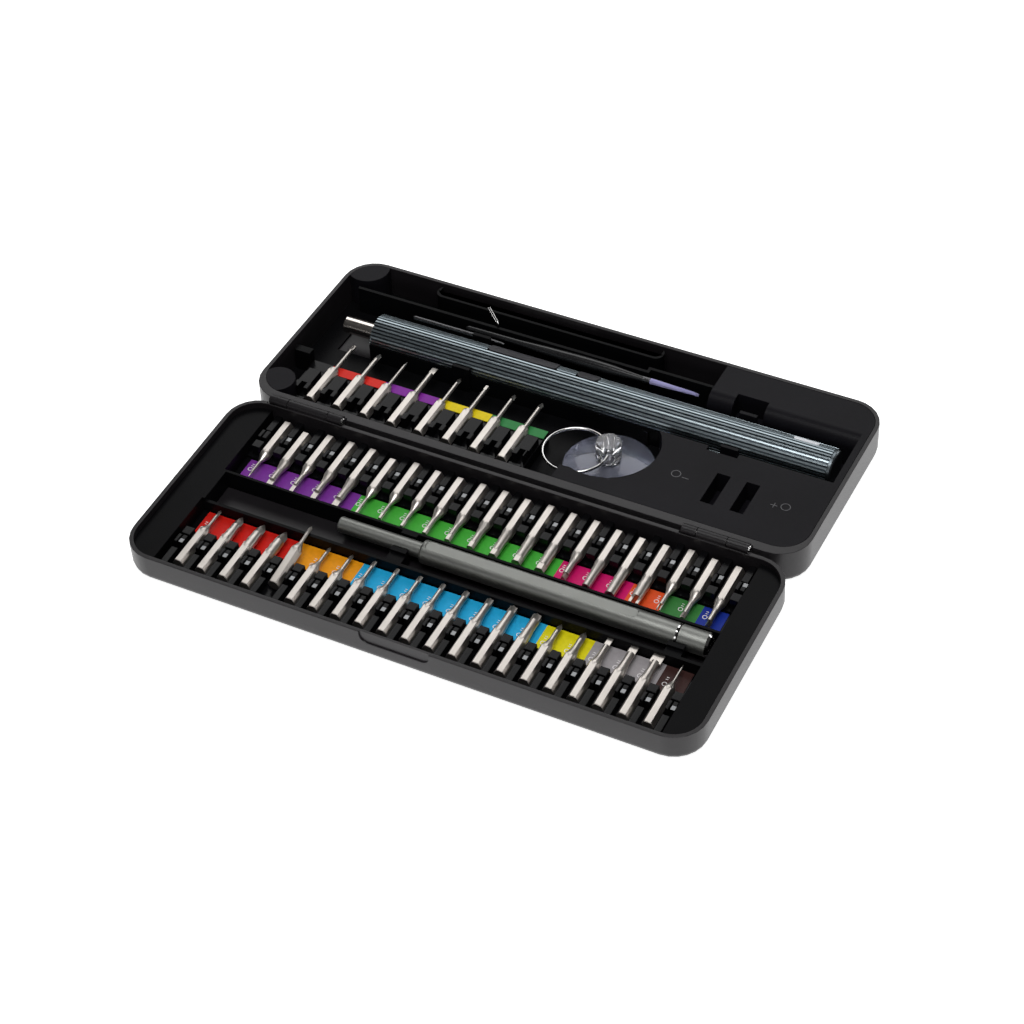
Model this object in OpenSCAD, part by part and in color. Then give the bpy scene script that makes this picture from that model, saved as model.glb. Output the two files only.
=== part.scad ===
// Precision screwdriver set: a hinged two-half case with a powered driver,
// a hand driver, long and short bits, and small repair tools.
// X runs along the case, +Y points to the deep half, +Z is up.
// The origin is on the surface that the open case rests on.

/* [Case] */
// Length of the case along the hinge
case_l = 215; // [205:1:225]
// Width of each half, from the hinge gap to the far wall
half_w = 85.2; // [84:0.5:88]
// Outer depth of the deep half
rear_depth = 14; // [13.5:0.5:16]
// Outer depth of the shallow half
front_depth = 11.3; // [11:0.1:12]
// Gap between the two halves at the hinge
hinge_gap = 2.3; // [2.1:0.1:2.8]
// Radius of the vertical corners
corner_r = 12; // [10:1:14]
// Radius of the lower outer edge
edge_round = 3; // [2:0.5:3.5]
// Thickness of the outer walls
wall = 1.6; // [1.2:0.1:2]

/* [Short bits] */
// Distance between neighbouring short bits
short_pitch = 8.785; // [8.6:0.005:9]
// Overall length of a short bit
short_l = 28.4; // [27:0.1:28.6]
// Width across the flats of every bit shank
shank_af = 4; // [3.8:0.1:4]

/* [Long bits] */
// Distance between neighbouring long bits
long_pitch = 11.14; // [11:0.01:11.3]
// Overall length of a long bit
long_l = 33.8; // [32:0.1:34]

/* [Powered driver] */
// Diameter of the ribbed barrel
driver_d = 15; // [14:0.1:15]
// Length of the ribbed barrel
driver_l = 180.5; // [170:0.5:181]
// Diameter of the chuck
chuck_d = 6.4; // [6:0.1:7]
// Number of ribs around the barrel
rib_count = 36; // [24:2:40]

/* [Hand driver] */
// Diameter of the barrel
pen_d = 8.4; // [8:0.1:8.6]
// Diameter of the nose
nose_d = 5.6; // [5:0.1:6]

/* [Suction cup] */
// Radius of the cup
cup_r = 16.6; // [15.5:0.1:17]
// Mean radius of the key ring
ring_r = 11.7; // [11:0.1:12]

/* [Hidden] */
$fn = 48;

// Case datum values
half_l = case_l / 2;
reach = hinge_gap / 2 + half_w;
rim_lift = 0.15;
hinge_z = rear_depth + rim_lift;
droop = asin((rear_depth - front_depth) / (reach - edge_round));
hinge_y = (cos(droop) - 1) * reach / 2;
wall_in = hinge_gap / 2 + wall;
rear_floor = 0.9;
front_floor = 1.2;
hinge_ledge = 5;
fit = 0.1;
gap = 0.3;

// Hinge values: the x of each hinge's start, its two splits and its end
barrel_r = 1.9;
pin_r = 0.75;
bore_r = 0.8;
hinges = [[-96.1, -88.7, -72.5, -66.6], [65.6, 71, 82.1, 89.9]];

// Bit values
shank_r = shank_af / sqrt(3);
bit_depth = 5.3;
row_x = -86.8;
short_count = 21;
hinge_row_y = 4.8;
front_row_y = 80.4;
long_count = 8;
long_row_y = 10;
deck_depth = 2.4;
seat_depth = 7.6;

// Well edges in the shallow half, measured from the hinge
well_x0 = -94.5;
well_x1 = 95.2;
hinge_well = [2, 36];
pen_well = [36.95, 50.1];
front_well = [51.3, 86];
insert_floor = 8.95;

// Driver placing
driver_y = 54.2;
driver_depth = 5.3;
driver_x = -82;
chuck_x = -96;
barrel_bore_r = 6.2;
button_angle = 67;

// Hand driver placing
pen_y = 41.5;
pen_depth = 4.4;
pen_x = -12.5;
nose_x = -44.7;
collar_x = 82.3;
collar_l = 0.6;
cap_x = collar_x + collar_l + gap;
cap_l = 94 - cap_x;

// Test slots of the utility block and the magnets beside them
slots_x = [67.8, 78.8];
side_magnets_x = [61.9, 84.7];

// Cup and ring placing
cup_x = 24;
cup_y = 29.7;
knob_r = 4.75;
knob_hole_r = 2.7;
ring_wire_r = 0.75;
ring_depth = 5;
ring_turn = 20.3;

// Corner magnets and the pads over them: [x, y, pad radius]
corner_pads_at = [[-100, 11, 6.4], [-101, 81.5, 8]];
corner_magnets_at = [[-99.3, 11.5], [-99.3, 79.3]];
magnet_r = 3.6;

function arc(cx, cy, r, a0, a1, n) =
    [for (i = [0:n]) [cx + r * cos(a0 + (a1 - a0) * i / n), cy + r * sin(a0 + (a1 - a0) * i / n)]];

function round_rect(x0, x1, y0, y1, r, n = 10) = concat(
    arc(x1 - r, y1 - r, r, 0, 90, n), arc(x0 + r, y1 - r, r, 90, 180, n),
    arc(x0 + r, y0 + r, r, 180, 270, n), arc(x1 - r, y0 + r, r, 270, 360, n));

// A comb outline: teeth = [from, to, height] on a base of the given thickness
function comb(x0, x1, base, teeth) = concat([[x0, 0], [x1, 0], [x1, base]],
    [for (i = [len(teeth) - 1:-1:0]) let (t = teeth[i])
        each [[t[1], base], [t[1], t[2]], [t[0], t[2]], [t[0], base]]],
    [[x0, base]]);

// ---- Placing helpers ----
module on_rear(depth = 0) {
    translate([0, hinge_y, rear_depth - depth]) children();
}

module on_lid(depth = 0) {
    translate([0, hinge_y, hinge_z]) rotate([droop, 0, 0])
        translate([0, 0, -rim_lift - depth]) children();
}

module box(x0, x1, y0, y1, z0, z1) {
    translate([x0, y0, z0]) cube([x1 - x0, y1 - y0, z1 - z0]);
}

module rod_x(x0, x1, r) {
    translate([x0, 0, 0]) rotate([0, 90, 0]) cylinder(h = x1 - x0, r = r);
}

module tray_outline(x0, x1, y0, y1, r, z0, z1) {
    translate([0, 0, z0]) linear_extrude(z1 - z0) polygon(round_rect(x0, x1, y0, y1, r));
}

// A slab with a rounded lower edge, its top at z = 0
module case_slab(depth) {
    hull() {
        for (s = [[0, 0.999], [0.16, 0.46], [0.5, 0.134], [1, 0]])
            translate([0, 0, -depth + edge_round * s[0]]) linear_extrude(0.01)
                polygon(round_rect(-half_l + edge_round * s[1], half_l - edge_round * s[1],
                    hinge_gap / 2 + edge_round * s[1], reach - edge_round * s[1],
                    corner_r - edge_round * s[1], 6));
        translate([0, 0, -0.01]) linear_extrude(0.01)
            polygon(round_rect(-half_l, half_l, hinge_gap / 2, reach, corner_r, 6));
    }
}

// Hinge knuckles of one half; y grows away from the hinge and z = 0 is the axis
module knuckles(spans) {
    for (s = spans) {
        rod_x(s[0], s[1], barrel_r);
        box(s[0], s[1], 0, wall_in, -3.4, -rim_lift);
    }
}

module hinge_cuts(r, extra) {
    for (h = hinges) rod_x(h[0] - extra, h[3] + extra, r);
}

rear_spans = [for (h = hinges) each [[h[0], h[1] - gap / 2], [h[2] + gap / 2, h[3]]]];
front_spans = [for (h = hinges) [h[1] + gap / 2, h[2] - gap / 2]];

// ---- Deep half ----
module rear_shell() {
    color("#232327") difference() {
        union() {
            difference() {
                on_rear() difference() {
                    case_slab(rear_depth);
                    tray_outline(-half_l + wall, half_l - wall, hinge_ledge, reach - wall, corner_r - wall,
                        -rear_depth + rear_floor, 1);
                }
                on_rear(-rim_lift) hinge_cuts(barrel_r + gap, 2 * gap);
            }
            on_rear(-rim_lift) knuckles(rear_spans);
        }
        on_rear(-rim_lift) hinge_cuts(bore_r, 1);
    }
}

// Corner posts that end flush with the rim, hollow below for the magnets
module corner_pads() {
    inset = wall + 0.05;
    base = -rear_depth + rear_floor;
    color("#26252b") on_rear() for (p = corner_pads_at) difference() {
        intersection() {
            tray_outline(-half_l + inset, half_l - inset, hinge_ledge + 0.05, reach - inset,
                corner_r - inset, base, 0);
            translate([p[0], p[1], base]) cylinder(h = -base, r = p[2]);
        }
        for (m = corner_magnets_at) translate([m[0], m[1], base - 1])
            cylinder(h = -base, r = magnet_r + fit);
    }
}

// Room for the corner posts, out to the case corner
module boss_clearances() {
    for (p = corner_pads_at) translate([p[0], p[1], -20]) {
        cylinder(h = 25, r = p[2] + fit);
        translate([-15, p[1] < pen_y ? -15 : 0, 0]) cube([15, 15, 25]);
    }
}

// Spring clip arms beside the driver, each with its far side from the barrel
clip_front = [driver_y - driver_d / 2 - 1.6, driver_y - driver_d / 2 - gap];
clip_rear = [driver_y + driver_d / 2 + gap, driver_y + driver_d / 2 + 1.7];

module rear_tray() {
    base_z = -rear_depth + rear_floor;
    plate = 0.8;
    rib_top = -0.8;
    pocket = [-71.2, 22, 78.2, reach - wall - fit];
    color("#1b1b1e") on_rear() difference() {
        union() {
            tray_outline(-half_l + wall + fit, 45.4, hinge_ledge + fit, reach - wall - fit, 3,
                base_z, base_z + plate);
            box(-99.5, 21, 70, 71.2, base_z, rib_top);
            box(20, 45.4, 72, 73.2, base_z, rib_top);
            box(20, 21.2, 70, 73.2, base_z, rib_top);
            difference() {
                tray_outline(pocket[0], pocket[1], pocket[2], pocket[3], 3.1, base_z, rib_top);
                tray_outline(pocket[0] + 1, pocket[1] - 1, pocket[2] + 1, pocket[3] + 4, 2.4, -9, 1);
            }
            box(-46.5, -39.5, clip_front[0], clip_front[1], base_z, -1.5);
            box(-46.5, -39.5, clip_rear[0], clip_rear[1], base_z, 0.5);
            box(-46.5, -39.5, driver_y + 7.2, clip_rear[1], base_z, base_z + plate + 0.3);
            difference() {
                box(22.5, 32, clip_front[0], clip_front[1], base_z, -5.5);
                translate([cup_x, cup_y, base_z + plate]) cylinder(h = 20, r = cup_r + 0.45);
            }
            box(-105, -98.5, 31, 34, base_z, -3);
        }
        boss_clearances();
        box(-96.5, 46, driver_y - 7.2, driver_y + 7.2, base_z - 1, base_z + plate + 0.01);
    }
}

long_rack_x0 = -98;
long_rack_x1 = -1.2;

function long_x(i) = row_x + long_pitch * i;
// Teeth between long bits, as fractions of the pitch in millimetres from the bit on the left
function long_teeth(spots, top) = concat(
    [for (i = [-1:long_count - 1], s = spots)
        if (long_x(i) + s[0] > long_rack_x0 && long_x(i) + s[1] < long_rack_x1 + 9)
            [long_x(i) + s[0], min(long_x(i) + s[1], long_rack_x1 - 0.2), top]]);

module long_band(y0, y1, base, teeth) {
    translate([0, y1, 0]) rotate([90, 0, 0]) linear_extrude(y1 - y0)
        polygon(comb(long_rack_x0, long_rack_x1, base, teeth));
}

module long_rack() {
    floor_z = rear_depth - rear_floor - 0.8;
    seat = floor_z - seat_depth;
    color("#1f1f22") on_rear(floor_z) difference() {
        union() {
            box(long_rack_x0, long_rack_x1, 5.2, 28.2, 0, seat);
            long_band(5.2, 11.4, seat, long_teeth([[2.65, 8.4]], floor_z - 5.6));
            long_band(13.4, 16.6, seat, long_teeth([[2.65, 4.6], [6.9, 8.4]], floor_z - 3));
            long_band(17.6, 25.4, seat, long_teeth([[2.65, 7.4]], floor_z - 4.2));
            box(long_rack_x0, long_rack_x1, 28.2, 33, 0, floor_z - 7.4);
        }
        translate([0, 0, floor_z]) boss_clearances();
    }
}

module long_label() {
    color("#c93a6a") on_rear(7.4) box(long_x(0) - 2.6, long_rack_x1, 28.4, 32.6, 0, 0.3);
}

// Outline of a bit along its length: hex shank, cone, shaft and pointed tip
module bit(total, shank, tip_r, cone = 4, point = 1.6) {
    rotate([-90, 0, 0]) {
        cylinder(h = shank, r = shank_r, $fn = 6);
        translate([0, 0, shank - 0.5]) cylinder(h = cone + 0.5, r1 = shank_r * 0.84, r2 = tip_r, $fn = 24);
        translate([0, 0, shank + cone]) cylinder(h = total - shank - cone - point, r = tip_r, $fn = 24);
        translate([0, 0, total - point]) cylinder(h = point, r1 = tip_r, r2 = tip_r * 0.45, $fn = 24);
    }
}

// A flat-bladed bit
module blade_bit(total, shank, blade_w, blade_t = 0.9) {
    rotate([-90, 0, 0]) {
        cylinder(h = shank, r = shank_r, $fn = 6);
        translate([0, 0, shank - 0.5]) cylinder(h = 4.5, r1 = shank_r * 0.84, r2 = 1.3, $fn = 24);
        translate([-blade_w / 2, -blade_t / 2, shank + 3]) cube([blade_w, blade_t, total - shank - 3]);
    }
}

// Tip radius of each long bit, from the left
long_tips = [0.75, 0.9, 0.6, 1.1, 0.8, 0.85, 0.8, 0.85];

module long_bits(first, last) {
    color("#b9b5b0") on_rear(bit_depth) for (i = [first:last])
        translate([long_x(i), long_row_y, 0]) bit(long_l, 17.6, long_tips[i], 1.6, 2);
}

module utility_block() {
    top = -0.1;
    base = -rear_depth + rear_floor;
    trough = [42.3, 65.7];
    trough_x1 = 103.4;
    round_r = 5;
    y0 = hinge_ledge + fit;
    y1 = reach - wall - fit;
    color("#2a2a2e") on_rear() {
        difference() {
            union() {
                tray_outline(60, half_l - wall - fit, y0, y1, corner_r - wall - fit, base, top);
                box(45.9, 75, y0, y1, base, top);
                box(32, 48, y0, trough[0], base + 0.85, top);
                box(13.5, 48, y0, 12, base + 0.85, top);
            }
            box(31, trough_x1, trough[0], trough[1], base + 0.3, 1);
            difference() {
                box(31, trough_x1, trough[1] - 0.02, trough[1] + round_r, top - round_r, 1);
                translate([0, trough[1] + round_r, top - round_r]) rod_x(30, 104, round_r);
            }
            translate([cup_x, cup_y, base - 1]) cylinder(h = 20, r = cup_r + 2.2, $fn = 96);
            box(55.5, 67.5, trough[1] - 1, 72, -9, 1);
            box(56.8, 68.5, trough[0] - 2.2, trough[0] + 1, -6, 1);
            for (x = slots_x) box(x - 2.5, x + 2.5, 14.9, 30.5, -8.5, 1);
            for (x = side_magnets_x) box(x - 2.1, x + 2.1, 17, 28.4, base - 1, -8.4 + 0.3);
        }
        box(60, 66.6, clip_rear[0], clip_rear[1], base, 0.5);
        box(60, 66.6, clip_front[0], clip_front[1], base, -1.5);
    }
}

module side_magnet(x) {
    color("#8d8f92") on_rear() box(x - 2, x + 2, 17.1, 28.3, -rear_depth + rear_floor + 0.05, -8.1);
}

module magnetiser_magnet() { side_magnet(side_magnets_x[0]); }

module demagnetiser_magnet() { side_magnet(side_magnets_x[1]); }

module rear_closure_magnets() {
    color("#8d8f92") on_rear(4.3) for (p = corner_magnets_at) translate(p) cylinder(h = 3, r = magnet_r);
}

module hinge_pins() {
    color("#a7a9ac") on_rear(-rim_lift) for (h = hinges) {
        rod_x(h[0], h[3], pin_r);
        rod_x(h[3], h[3] + 0.5, 1.3);
    }
}

// ---- Powered driver ----
module on_driver() {
    on_rear(driver_depth) translate([0, driver_y, 0]) children();
}

// Frame whose +Z points out through the button strip
module on_buttons() {
    on_driver() rotate([button_angle - 90, 0, 0]) children();
}

function ribbed(r, depth, n) = [for (i = [0:n - 1]) let (a = 360 / n)
    each [[r * cos(a * i), r * sin(a * i)], [r * cos(a * (i + 0.45)), r * sin(a * (i + 0.45))],
        [(r - depth) * cos(a * (i + 0.55)), (r - depth) * sin(a * (i + 0.55))],
        [(r - depth) * cos(a * (i + 0.9)), (r - depth) * sin(a * (i + 0.9))]]];

// Button places along the barrel: [from x, to x]
rocker_span = [-36.8, -8.5];
light_span = [-1, 8];
indicator_span = [82.7, 92.6];
panel_w = 5.6;

module driver_body() {
    color("#5d686d") difference() {
        on_driver() union() {
            difference() {
                translate([driver_x, 0, 0]) rotate([90, 0, 90]) linear_extrude(driver_l)
                    polygon(ribbed(driver_d / 2, 0.45, rib_count));
                rod_x(driver_x + 2, driver_x + driver_l + 1, barrel_bore_r);
                rod_x(driver_x - 1, driver_x + 3, 2.6);
            }
        }
        on_buttons() for (s = [rocker_span, light_span])
            box(s[0], s[1], -panel_w / 2, panel_w / 2, barrel_bore_r - 1.5, 9);
        on_buttons() box(indicator_span[0], indicator_span[1], -1.2, 1.2, 6.6, 9);
    }
}

module driver_tail() {
    end = driver_x + driver_l;
    color("#454d51") on_driver() {
        rod_x(end, end + 1.4, driver_d / 2 - 0.5);
        rod_x(end - 4, end, barrel_bore_r - 0.05);
    }
}

module driver_chuck() {
    color("#cfcac4") on_driver() difference() {
        union() {
            rod_x(chuck_x, driver_x - gap, chuck_d / 2);
            rod_x(driver_x - gap - 0.1, driver_x + 6, 2.55);
        }
        translate([chuck_x - 1, 0, 0]) rotate([0, 90, 0]) cylinder(h = 10, r = shank_r + 0.06, $fn = 6);
        rod_x(chuck_x + 8, chuck_x + 10.5 + fit, 1.5 + fit);
    }
}

module chuck_magnet() {
    color("#8d8f92") on_driver() rod_x(chuck_x + 9, chuck_x + 10.5, 1.5);
}

module button_pad(span, lift) {
    on_buttons() intersection() {
        box(span[0] + gap, span[1] - gap, -panel_w / 2 + gap, panel_w / 2 - gap, barrel_bore_r - 1, 9);
        rod_x(span[0], span[1], driver_d / 2 + lift);
    }
}

module rocker_button() {
    color("#2b2a2c") button_pad(rocker_span, 0.25);
}

module light_button() {
    color("#2b2a2c") button_pad(light_span, 0.15);
}

module charge_indicator() {
    color("#dfe4f2") on_buttons() intersection() {
        box(indicator_span[0] + 0.03, indicator_span[1] - 0.03, -1.17, 1.17, 6.63, 9);
        rod_x(indicator_span[0] - 1, indicator_span[1] + 1, driver_d / 2 + 0.05);
    }
}

module driver_motor() {
    color("#9a9a98") on_driver() {
        rod_x(-74, -46, 6.1);
        rod_x(-75.2, -74, 2);
    }
}

module driver_battery() {
    color("#3d6f9e") on_driver() rod_x(18, 76, 6.1);
}

module driver_board() {
    color("#1f6b45") on_driver() box(-44, 16, -4.3, 4.3, -2.4, -1.4);
}

// ---- Hand driver ----
module on_pen() {
    on_lid(pen_depth) translate([0, -pen_y, 0]) children();
}

module pen_barrel() {
    color("#55555a") on_pen() difference() {
        rod_x(pen_x, collar_x, pen_d / 2);
        box(pen_x + 1, 68, -1.9, 1.9, pen_d / 2 - 0.45, pen_d);
        rod_x(pen_x - 1, pen_x + 8, 2.2);
        rod_x(collar_x - 8, collar_x + 1, 2.2);
    }
}

module pen_nose() {
    color("#5b5b60") on_pen() difference() {
        union() {
            rod_x(nose_x, pen_x, nose_d / 2);
            rod_x(pen_x, pen_x + 7.9, 2.15);
        }
        translate([nose_x - 1, 0, 0]) rotate([0, 90, 0]) cylinder(h = 12, r = shank_r + 0.06, $fn = 6);
    }
}

module pen_collar() {
    color("#c9c9cc") on_pen() difference() {
        rod_x(collar_x, collar_x + collar_l, pen_d / 2 + 0.02);
        rod_x(collar_x - 1, cap_x, 2.2);
    }
}

module pen_cap() {
    chamfer = 1.2;
    bore_end = cap_l - 2;
    color("#55555a") on_pen() translate([cap_x, 0, 0]) rotate([0, 90, 0]) rotate_extrude()
        polygon([[1.06, 0], [pen_d / 2, 0], [pen_d / 2, cap_l - chamfer], [pen_d / 2 - chamfer, cap_l],
            [0, cap_l], [0, bore_end], [1.06, bore_end]]);
}

module pen_swivel_pin() {
    color("#a7a9ac") on_pen() {
        rod_x(collar_x - 7.9, collar_x + collar_l, 2.15);
        rod_x(collar_x + collar_l, cap_x + cap_l - 2.4, 1);
    }
}

// ---- Suction cup and key ring ----
module on_cup() {
    on_rear() translate([cup_x, cup_y, 0]) children();
}

module suction_cup() {
    color("#9aa0c4", 0.6) on_cup() rotate_extrude()
        polygon([[0, -9.6], [3, -9.7], [10, -11], [cup_r, -12], [cup_r, -11.5], [14, -10.7],
            [10, -9.6], [6, -8.9], [3.2, -8.6], [0, -8.6]]);
}

module suction_knob() {
    color("#d8d8e6", 0.7) on_cup() difference() {
        rotate_extrude() polygon([[0, -8.55], [3.4, -8.55], [3.6, -8], [knob_r, -7.4], [knob_r, -0.6],
            [knob_r - 0.6, 0], [0, 0]]);
        rotate([0, 0, ring_turn]) translate([0, 8, -ring_depth]) rotate([90, 0, 0])
            cylinder(h = 16, r = knob_hole_r);
    }
}

module key_ring() {
    color("#d0ccc8") on_cup() rotate([0, 0, ring_turn]) translate([-ring_r, 0, -ring_depth])
        rotate_extrude() translate([ring_r, 0]) circle(r = ring_wire_r);
}

// ---- Small tools ----
brush_y = 67.6;

module on_brush() {
    on_rear(2.2) translate([0, brush_y, 0]) rotate([0, 90, 0]) children();
}

module brush_handle() {
    color("#242426") on_brush() rotate_extrude()
        polygon([[0, -52], [0.8, -51.6], [1.1, -30], [2, -12], [2.1, 0], [1.9, 8], [1.1, 20], [0, 20]]);
}

module brush_ferrule() {
    color("#8a8888") on_brush() translate([0, 0, 20]) cylinder(h = 3, r = 1.2);
}

module brush_bristles() {
    color("#8f8ad0") on_brush() translate([0, 0, 23]) cylinder(h = 19, r1 = 1.8, r2 = 0.4);
}

module on_pocket() {
    on_rear(3.6) translate([0, 81.6, 0]) children();
}

module pry_tool_ends() {
    color("#1d1d20") on_pocket() {
        rod_x(-68, -42, 1.7);
        rod_x(-7.5, 17, 1.7);
    }
}

module pry_tool_rod() {
    color("#bdbdbd") on_pocket() rod_x(-42, -7.5, 0.9);
}

module tray_pin() {
    color("#d5d5d5") on_rear() translate([-48.5, 79.1, 0.05]) rotate([0, 90, -44]) cylinder(h = 11, r = 0.5);
}

module hook_probe() {
    color("#3a3a3d") on_rear(2.5) translate([0, 64.9, 0]) {
        rod_x(-73, -38, 0.9);
        translate([-38, 0, 0]) rotate([0, 90, 0]) cylinder(h = 3, r1 = 0.9, r2 = 0.3);
    }
}

// ---- Shallow half ----
module front_shell() {
    color("#2c2b2d") on_lid() mirror([0, 1, 0]) difference() {
        union() {
            difference() {
                case_slab(front_depth);
                tray_outline(-half_l + wall, half_l - wall, wall_in, reach - wall, corner_r - wall,
                    -front_depth + front_floor, 1);
                translate([0, 0, rim_lift]) hinge_cuts(barrel_r + gap, 2 * gap);
                translate([0.5, reach + 0.6, -1.6]) scoop_cut();
            }
            translate([0, 0, rim_lift]) knuckles(front_spans);
        }
        translate([0, 0, rim_lift]) hinge_cuts(bore_r, 1);
    }
}

// Shallow finger scoop in the opening edge of the shallow half
module scoop_cut() {
    scoop_l = 26;
    rotate([90, 0, 0]) linear_extrude(1.2) polygon(concat(
        [[scoop_l / 2, 4]], [[scoop_l / 2, 0]], arc(scoop_l / 2 - 3, 0, 3, 0, -90, 6),
        arc(-scoop_l / 2 + 3, 0, 3, -90, -180, 6), [[-scoop_l / 2, 4]]));
}

module well(x0, x1, y, floor) {
    box(x0, x1, y[0], y[1], -floor, 1);
}

module front_insert() {
    base = -front_depth + front_floor;
    color("#1d1d1f") on_lid() mirror([0, 1, 0]) {
        difference() {
            tray_outline(-half_l + wall + fit, half_l - wall - fit, wall_in + fit, reach - wall - fit,
                corner_r - wall - fit, base, -deck_depth);
            well(well_x0, well_x1, hinge_well, insert_floor);
            well(well_x0, well_x1, front_well, insert_floor);
            well(well_x0 + 1, well_x1, pen_well, front_depth);
            well(well_x0 + 1, well_x1, [pen_well[1] - 0.5, front_well[0] + 0.5], 4);
            box(well_x1 - 0.01, well_x1 + 0.05, 0, reach, base - 1, 1);
            for (p = corner_magnets_at) translate([p[0], p[1], base - 1])
                cylinder(h = 7.15, r = magnet_r + fit);
        }
        clip = [[-19.5, nose_d / 2], [84, pen_d / 2]];
        for (c = clip) {
            box(c[0] - 3, c[0] + 3, pen_y + c[1] + gap, pen_well[1] + 0.6, -insert_floor, -4);
            box(c[0] - 3, c[0] + 3, pen_y + c[1] + gap, pen_y + c[1] + 2.2, -insert_floor, -2.8);
        }
        box(-22.5, -16.5, pen_well[0] - 0.5, pen_y - nose_d / 2 - gap, -insert_floor, -2.4);
    }
}

function short_x(i) = row_x + short_pitch * i;

function short_teeth(spots, top) = [for (i = [-1:short_count - 1], s = spots)
    if (short_x(i) + s[0] > well_x0 && short_x(i) + s[1] < well_x1 + 1)
        [short_x(i) + s[0], min(short_x(i) + s[1], well_x1 - 0.3), top]];

module short_band(y0, y1, base, teeth) {
    translate([0, y1, 0]) rotate([90, 0, 0]) linear_extrude(y1 - y0)
        polygon(comb(well_x0 + fit, well_x1 - fit, base, teeth));
}

// One short-bit rack, drawn with y = 0 at the shank ends and the tips along +Y
module short_rack(back, length) {
    seat = insert_floor - seat_depth;
    color("#1f1f22") {
        box(well_x0 + fit, well_x1 - fit, -back, 17.5, 0, seat);
        short_band(-back, 6, seat, short_teeth([[2.65, 5.2]], insert_floor - 4.3));
        short_band(7.5, 11.3, seat, short_teeth([[2.65, 3.9], [4.4, 6.1]], insert_floor - 2.9));
        short_band(12.4, 15.9, seat, short_teeth([[2.65, 6.1]], insert_floor - 3.5));
        box(well_x0 + fit, well_x1 - fit, 17.5, length, 0, insert_floor - 8.5);
    }
}

// Label strips: [from y, to y] from the hinge, on the rack's low shelf
hinge_label = [23, 35.6];
front_label = [51.8, 62.5];
label_depth = 8.45;
label_t = 0.25;

module hinge_row_rack() {
    back = hinge_row_y - wall_in - 2 * fit;
    on_lid(insert_floor) mirror([0, 1, 0]) translate([0, hinge_row_y, 0])
        short_rack(back, hinge_well[1] - hinge_row_y - fit);
}

module front_row_rack() {
    back = reach - wall - 2 * fit - front_row_y;
    on_lid(insert_floor) translate([0, -front_row_y, 0])
        short_rack(back, front_row_y - front_well[0] - fit);
}

module row_label(span) {
    on_lid(label_depth) mirror([0, 1, 0]) box(well_x0 + 2.5, well_x1 - 2.5, span[0], span[1], 0, label_t);
}

module hinge_row_label() { color("#7a3fa0") row_label(hinge_label); }

module front_row_label() { color("#2aa9dc") row_label(front_label); }

module front_closure_magnets() {
    color("#8d8f92") on_lid(7) mirror([0, 1, 0]) for (p = corner_magnets_at) translate(p)
        cylinder(h = 3, r = magnet_r);
}

// Tip radii of the hinge row and the front row, from the left
hinge_tips = [0.6, 1.2, 0.9, 1.2, 1.4, 0.6, 0.65, 0.75, 0.95, 1.1, 1.3, 1.6, 1.75, 1.8, 1.1, 1.5, 1.8, 1.9,
    0.8, 0.9, 1];
front_tips = [0.6, 1.5, 1.7, 1.8, 0.65, 0.65, 0.7, 0.75, 0.8, 0.85, 0.9, 1.1, 1.3, 1.5, 1.6, 0.9, 1.1, 1,
    1.4, 2, 0.45];
// How far each hinge-row bit sits out of line
hinge_slip = [0, 2.2, 0, 0, 0, 1.6, 0, 0.6, 0.4, 0, 0, 0.6, 0, 0.3, 0.4, 1.4, 1.6, 1.4, 0, 0.8, 0.8];

module hinge_row_bits(first, last) {
    color("#b9b5b0") on_lid(bit_depth) mirror([0, 1, 0]) for (i = [first:last])
        translate([short_x(i), hinge_row_y + hinge_slip[i], 0])
            bit(short_l - hinge_slip[i] / 2, 16.5 - hinge_slip[i] / 2, hinge_tips[i]);
}

module front_row_bits(first, last) {
    color("#b9b5b0") on_lid(bit_depth) for (i = [first:last])
        translate([short_x(i), -front_row_y, 0]) bit(short_l, 16.5, front_tips[i]);
}

module short_bits_purple() { hinge_row_bits(0, 4); }

module short_bits_green() { hinge_row_bits(5, 13); }

module short_bits_magenta() { hinge_row_bits(14, 16); }

module short_bits_orange() { hinge_row_bits(17, 18); }

module short_bit_dark_green() { hinge_row_bits(19, 19); }

module short_bit_blue() { hinge_row_bits(20, 20); }

module short_bits_red() { front_row_bits(0, 3); }

// The fifth seat's bit has slid towards the middle and lies a little askew
module short_bit_loose() {
    color("#b9b5b0") on_lid(bit_depth - 0.5) translate([short_x(4) + 0.15, -76.1, 0]) rotate([3.5, 0, 2])
        bit(short_l, 16.5, front_tips[4]);
}

module short_bits_amber() { front_row_bits(5, 6); }

module short_bits_cyan() { front_row_bits(7, 14); }

module short_bits_yellow() { front_row_bits(15, 16); }

module short_bits_grey() {
    color("#b9b5b0") on_lid(bit_depth) for (i = [17:19])
        translate([short_x(i), -front_row_y, 0]) blade_bit(short_l, 16.5, 2 * front_tips[i]);
}

module short_bit_brown() { front_row_bits(20, 20); }

module long_bits_red() { long_bits(0, 2); }

module long_bits_purple() { long_bits(3, 4); }

module long_bits_yellow() { long_bits(5, 6); }

module long_bit_green() { long_bits(7, 7); }

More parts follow.
